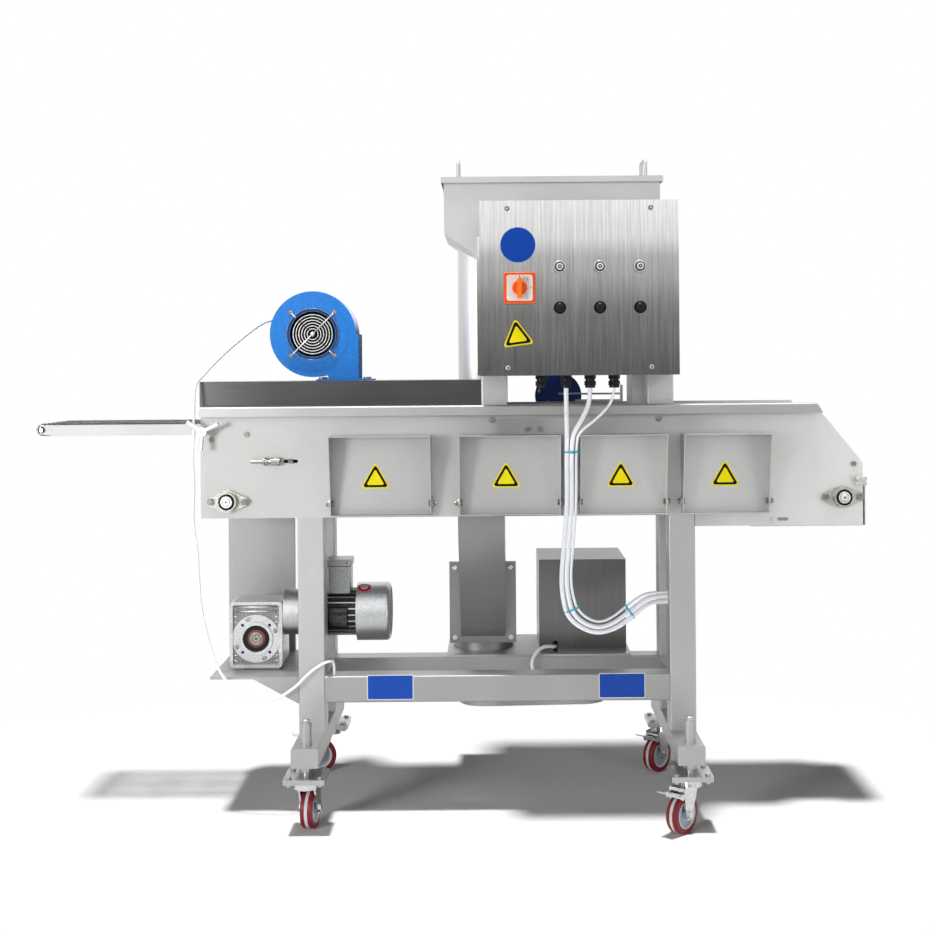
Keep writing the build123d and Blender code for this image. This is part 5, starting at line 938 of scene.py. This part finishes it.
plate_x, plate_tilt, sticker_x, sticker_tilt = -0.310, -6, -0.240, 64
plate_rows = [[(-0.0275, step * 0.0036), (0.0275, step * 0.0036)] for step in range(-8, 9)]
field_rows = [[(x * 0.9, v * 0.9) for x, v in row] for row in plate_rows]
wrapped("motor_plate", plate_rows, 0.0660, plate_x, plate_tilt, matte_black_and_painted_shade)
wrapped("motor_plate_field", field_rows, 0.0666, plate_x, plate_tilt, dark_steel)
wrapped("motor_ring", polar_rows(0.0110, 0.0180), 0.0796, sticker_x, sticker_tilt, label_red)
wrapped("motor_disc", polar_rows(0.0004, 0.0112), 0.0800, sticker_x, sticker_tilt, label_white)

terminal_x = -0.3095
for name, half_w, half_d, low, depth, material in (
    ("terminal_seam", 0.0323, 0.0388, 0.6460, 0.0020, matte_black_and_painted_shade),
    ("terminal_lid", 0.0345, 0.0410, 0.6480, 0.0175, terminal_cast),
):
    plate_mesh(name, box_outline(half_w, half_d, 0.007), depth, (terminal_x, motor_axis[0], low), material,
               "base", up=(0, 1, 0))
for number, x in enumerate((terminal_x - 0.0240, terminal_x + 0.0240)):
    domed_screw(f"terminal_screw_{number}", 0.0040, 0.0030, (x, motor_axis[0] - 0.0410, 0.6570), bolt_steel)

band_profile = ((0.0490, -0.0040), (0.0502, -0.0040), (0.0502, 0.0040), (0.0490, 0.0040))
rim_profile = ((0.0300, 0.0110), (0.0366, 0.0110), (0.0372, 0.0150), (0.0360, 0.0164), (0.0335, 0.0164),
               (0.0310, 0.0130))
for corner, (centre, axle) in wheel_axes.items():
    wheel = f"caster_wheel_{corner}"
    lathe(f"wheel_band_{corner}", band_profile, centre, axle, tread_grey, wheel, closed=True,
          steps=72)
    for side, way in (("left", -1), ("right", 1)):
        lathe(f"wheel_rim_{corner}_{side}", rim_profile, centre, axle * way, tread_grey, wheel,
              closed=True, steps=60)

nose_low, nose_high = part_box("nose_roller")
nose_centre = ((nose_low.x + nose_high.x) / 2, nose_low.y, (nose_low.z + nose_high.z) / 2)
for name, inner, outer, material, slot in (("nose_disc", 0.0003, 0.0052, bright_steel, "fastener_steel"),
                                           ("nose_ring", 0.0054, 0.0086, matte_black_and_painted_shade, "black_plastic")):
    flat_ring(name, inner, outer, 0.0006, nose_centre, material, "nose_roller")

# Cable ties round the bundle


def tie(name, places, ahead, width=0.0042, thickness=0.0012):
    """Band round a row of cable sections, given as centre and radius, in a plane across the run."""
    ahead = Vector(ahead).normalized()
    row = (Vector(places[-1][0]) - Vector(places[0][0]))
    across = (row - ahead * row.dot(ahead)).normalized()
    out = ahead.cross(across)
    middle = sum((Vector(place) for place, _ in places), Vector()) / len(places)
    half = max(abs((Vector(place) - middle).dot(across)) + radius for place, radius in places)
    deep = max(abs((Vector(place) - middle).dot(out)) + radius for place, radius in places)
    work = bmesh.new()
    rings = []
    steps = 40
    for step in range(steps):
        angle = full_turn * step / steps
        shape = Vector((math.copysign(abs(math.cos(angle)) ** 0.6, math.cos(angle)) * half,
                        math.copysign(abs(math.sin(angle)) ** 0.8, math.sin(angle)) * deep))
        grown = shape + shape.normalized() * thickness
        corners = ((shape, -width / 2), (grown, -width / 2), (grown, width / 2), (shape, width / 2))
        rings.append([work.verts.new(middle + across * flat.x + out * flat.y + ahead * rise)
                      for flat, rise in corners])
    for step in range(steps):
        first, second = rings[step], rings[(step + 1) % steps]
        for side in range(4):
            after = (side + 1) % 4
            work.faces.new((first[side], first[after], second[after], second[side]))
    lock = bmesh.ops.create_cube(work, size=1)
    turned = Matrix((across, out, ahead)).transposed().to_4x4()
    place = Matrix.Translation(middle + out * -(deep + 0.0022)) @ turned
    lock_size = Matrix.Diagonal((0.0065, 0.0045, 0.0055, 1))
    bmesh.ops.transform(work, matrix=place @ lock_size, verts=lock["verts"])
    finish_mesh(name, work, tie_cyan, "base")


def on_route(points, index, share):
    """Place on a cable's smooth line, a share of the way past one of its control points."""
    before, here, after = (Vector(points[index + step]) / 1000 for step in (-1, 0, 1))
    weights = ((1 - share) ** 2 / 2, 0.5 + share - share ** 2, share ** 2 / 2)
    return before * weights[0] + here * weights[1] + after * weights[2]


tie_places = (
    ("upper", (0.0, -0.3, 1.0), ((3, 0.5), (4, 0.7), (4, 1.0))),
    ("low", (0.35, 0.08, -0.93), ((10, 0.2), (11, 0.2), (11, 0.2))),
    ("right", (0.80, 0.22, 0.56), ((13, 0.5), (14, 0.5), (14, 0.5))),
)
for name, ahead, spots in tie_places:
    sections = [
        (on_route(points, index, share), diameter / 2)
        for (diameter, _, points), (index, share) in zip(panel_cables, spots)
    ]
    tie(f"cable_tie_{name}", sections, ahead)


# Studio: pale floor, soft lights and the camera


def floor_material():
    """Pale floor that takes the shadow and runs into the white behind the machine."""
    material, nodes, links, shader, coords = new_material("studio_floor")
    shader.inputs["Base Color"].default_value = (0.92, 0.92, 0.92, 1)
    shader.inputs["Roughness"].default_value = 0.9
    shader.inputs["Specular IOR Level"].default_value = 0.1
    light = nodes.new("ShaderNodeEmission")
    light.inputs["Color"].default_value = (1, 1, 1, 1)
    light.inputs["Strength"].default_value = 1.0
    centred = nodes.new("ShaderNodeMapping")
    centred.inputs["Location"].default_value = (-0.05, -0.10, 0.0)
    centred.inputs["Scale"].default_value = (0.62, 1.0, 1.0)
    links.new(coords, centred.inputs["Vector"])
    distance = nodes.new("ShaderNodeVectorMath")
    distance.operation = "LENGTH"
    links.new(centred.outputs["Vector"], distance.inputs[0])
    fade = nodes.new("ShaderNodeMapRange")
    fade.interpolation_type = "SMOOTHSTEP"
    fade.inputs["From Min"].default_value = 0.70
    fade.inputs["From Max"].default_value = 1.30
    links.new(distance.outputs["Value"], fade.inputs["Value"])
    rays = nodes.new("ShaderNodeLightPath")
    seen = nodes.new("ShaderNodeMath")
    seen.operation = "MULTIPLY"
    links.new(rays.outputs["Is Camera Ray"], seen.inputs[0])
    links.new(fade.outputs["Result"], seen.inputs[1])
    mix = nodes.new("ShaderNodeMixShader")
    links.new(seen.outputs["Value"], mix.inputs["Fac"])
    links.new(shader.outputs["BSDF"], mix.inputs[1])
    links.new(light.outputs["Emission"], mix.inputs[2])
    links.new(mix.outputs["Shader"], nodes["Material Output"].inputs["Surface"])
    return material


floor_mesh = bpy.data.meshes.new("studio_floor")
floor_x, floor_front, floor_back = 7.0, -3.0, 12.0
floor_corners = ((-floor_x, floor_front, 0), (floor_x, floor_front, 0), (floor_x, floor_back, 0),
                 (-floor_x, floor_back, 0))
floor_mesh.from_pydata(floor_corners, [], [(0, 1, 2, 3)])
floor_mesh.materials.append(floor_material())
floor = placed("studio_floor", floor_mesh)


def lamp_at(name, kind, place, target, energy, **settings):
    """Lamp of a kind at a place, aimed at a target."""
    lamp = bpy.data.lights.new(name, kind)
    lamp.energy = energy
    for key, value in settings.items():
        setattr(lamp, key, value)
    holder = placed(name, lamp)
    holder.location = place
    holder.rotation_euler = (Vector(target) - Vector(place)).to_track_quat("-Z", "Y").to_euler()


lamp_at("overhead", "SUN", (-0.35, -0.75, 5.0), (0.0, 0.0, 0.0), 3.3, angle=math.radians(5))
lamp_at("key", "AREA", (-2.2, -3.0, 1.1), (0.0, -0.1, 0.9), 54, shape="RECTANGLE", size=0.8, size_y=0.8)
lamp_at("right_box", "AREA", (3.2, -3.0, 0.7), (0.2, 0.0, 0.9), 20, shape="RECTANGLE", size=1.2, size_y=1.2)


def along_direction(nodes, links, value, stops):
    """Grey levels along a value from -1 to 1, from stops given as value and level."""
    node = grey_stops(nodes, stops, -1, 1)
    shifted = nodes.new("ShaderNodeMath")
    shifted.operation = "MULTIPLY_ADD"
    shifted.inputs[1].default_value = 0.5
    shifted.inputs[2].default_value = 0.5
    links.new(value, shifted.inputs[0])
    links.new(shifted.outputs["Value"], node.inputs["Fac"])
    return node.outputs["Color"]


world = bpy.data.worlds.new("studio")
bpy.context.scene.world = world
world.use_nodes = True
sky_nodes, sky_links = world.node_tree.nodes, world.node_tree.links
heading = sky_nodes.new("ShaderNodeTexCoord")
split = sky_nodes.new("ShaderNodeSeparateXYZ")
sky_links.new(heading.outputs["Generated"], split.inputs["Vector"])
height_stops = (
    (-1.0, 0.085), (-0.30, 0.127), (-0.09, 0.21), (-0.045, 0.10), (-0.018, 0.025), (0.012, 0.025),
    (0.05, 0.118), (0.085, 0.42), (0.115, 1.0), (0.15, 0.90), (0.20, 0.40), (0.32, 0.50), (0.52, 0.85),
    (0.85, 0.76), (1.0, 0.34),
)
side_stops = (
    (-1.0, 0.7), (-0.50, 1.0), (-0.16, 1.0), (-0.05, 0.66), (0.06, 0.60), (0.20, 0.85), (0.45, 0.9),
    (1.0, 0.6),
)
by_height = along_direction(sky_nodes, sky_links, split.outputs["Z"], height_stops)
by_side = along_direction(sky_nodes, sky_links, split.outputs["X"], side_stops)
mirrored = sky_nodes.new("ShaderNodeBackground")
sky_links.new(multiplied(sky_nodes, sky_links, by_height, by_side), mirrored.inputs["Color"])
mirrored.inputs["Strength"].default_value = 2.6
ambient = sky_nodes["Background"]
ambient.inputs["Color"].default_value = (1, 1, 1, 1)
ambient.inputs["Strength"].default_value = 0.035
white = sky_nodes.new("ShaderNodeBackground")
white.inputs["Color"].default_value = (1, 1, 1, 1)
white.inputs["Strength"].default_value = 1.0
rays = sky_nodes.new("ShaderNodeLightPath")
with_gloss = sky_nodes.new("ShaderNodeMixShader")
sky_links.new(rays.outputs["Is Glossy Ray"], with_gloss.inputs["Fac"])
sky_links.new(ambient.outputs["Background"], with_gloss.inputs[1])
sky_links.new(mirrored.outputs["Background"], with_gloss.inputs[2])
with_view = sky_nodes.new("ShaderNodeMixShader")
sky_links.new(rays.outputs["Is Camera Ray"], with_view.inputs["Fac"])
sky_links.new(with_gloss.outputs["Shader"], with_view.inputs[1])
sky_links.new(white.outputs["Background"], with_view.inputs[2])
sky_links.new(with_view.outputs["Shader"], sky_nodes["World Output"].inputs["Surface"])

lens = bpy.data.cameras.new("camera")
lens.lens = camera_lens
lens.sensor_width = 36.0
lens.sensor_fit = "HORIZONTAL"
lens.shift_x = (image_size / 2 - vanishing_px[0]) / image_size
lens.shift_y = (vanishing_px[1] - image_size / 2) / image_size
camera = placed("camera", lens)
camera.location = (camera_x, front_y - camera_distance, eye_height)
camera.rotation_euler = (math.radians(90), math.radians(camera_roll), 0)
bpy.context.scene.camera = camera
bpy.context.scene.view_settings.view_transform = "Standard"
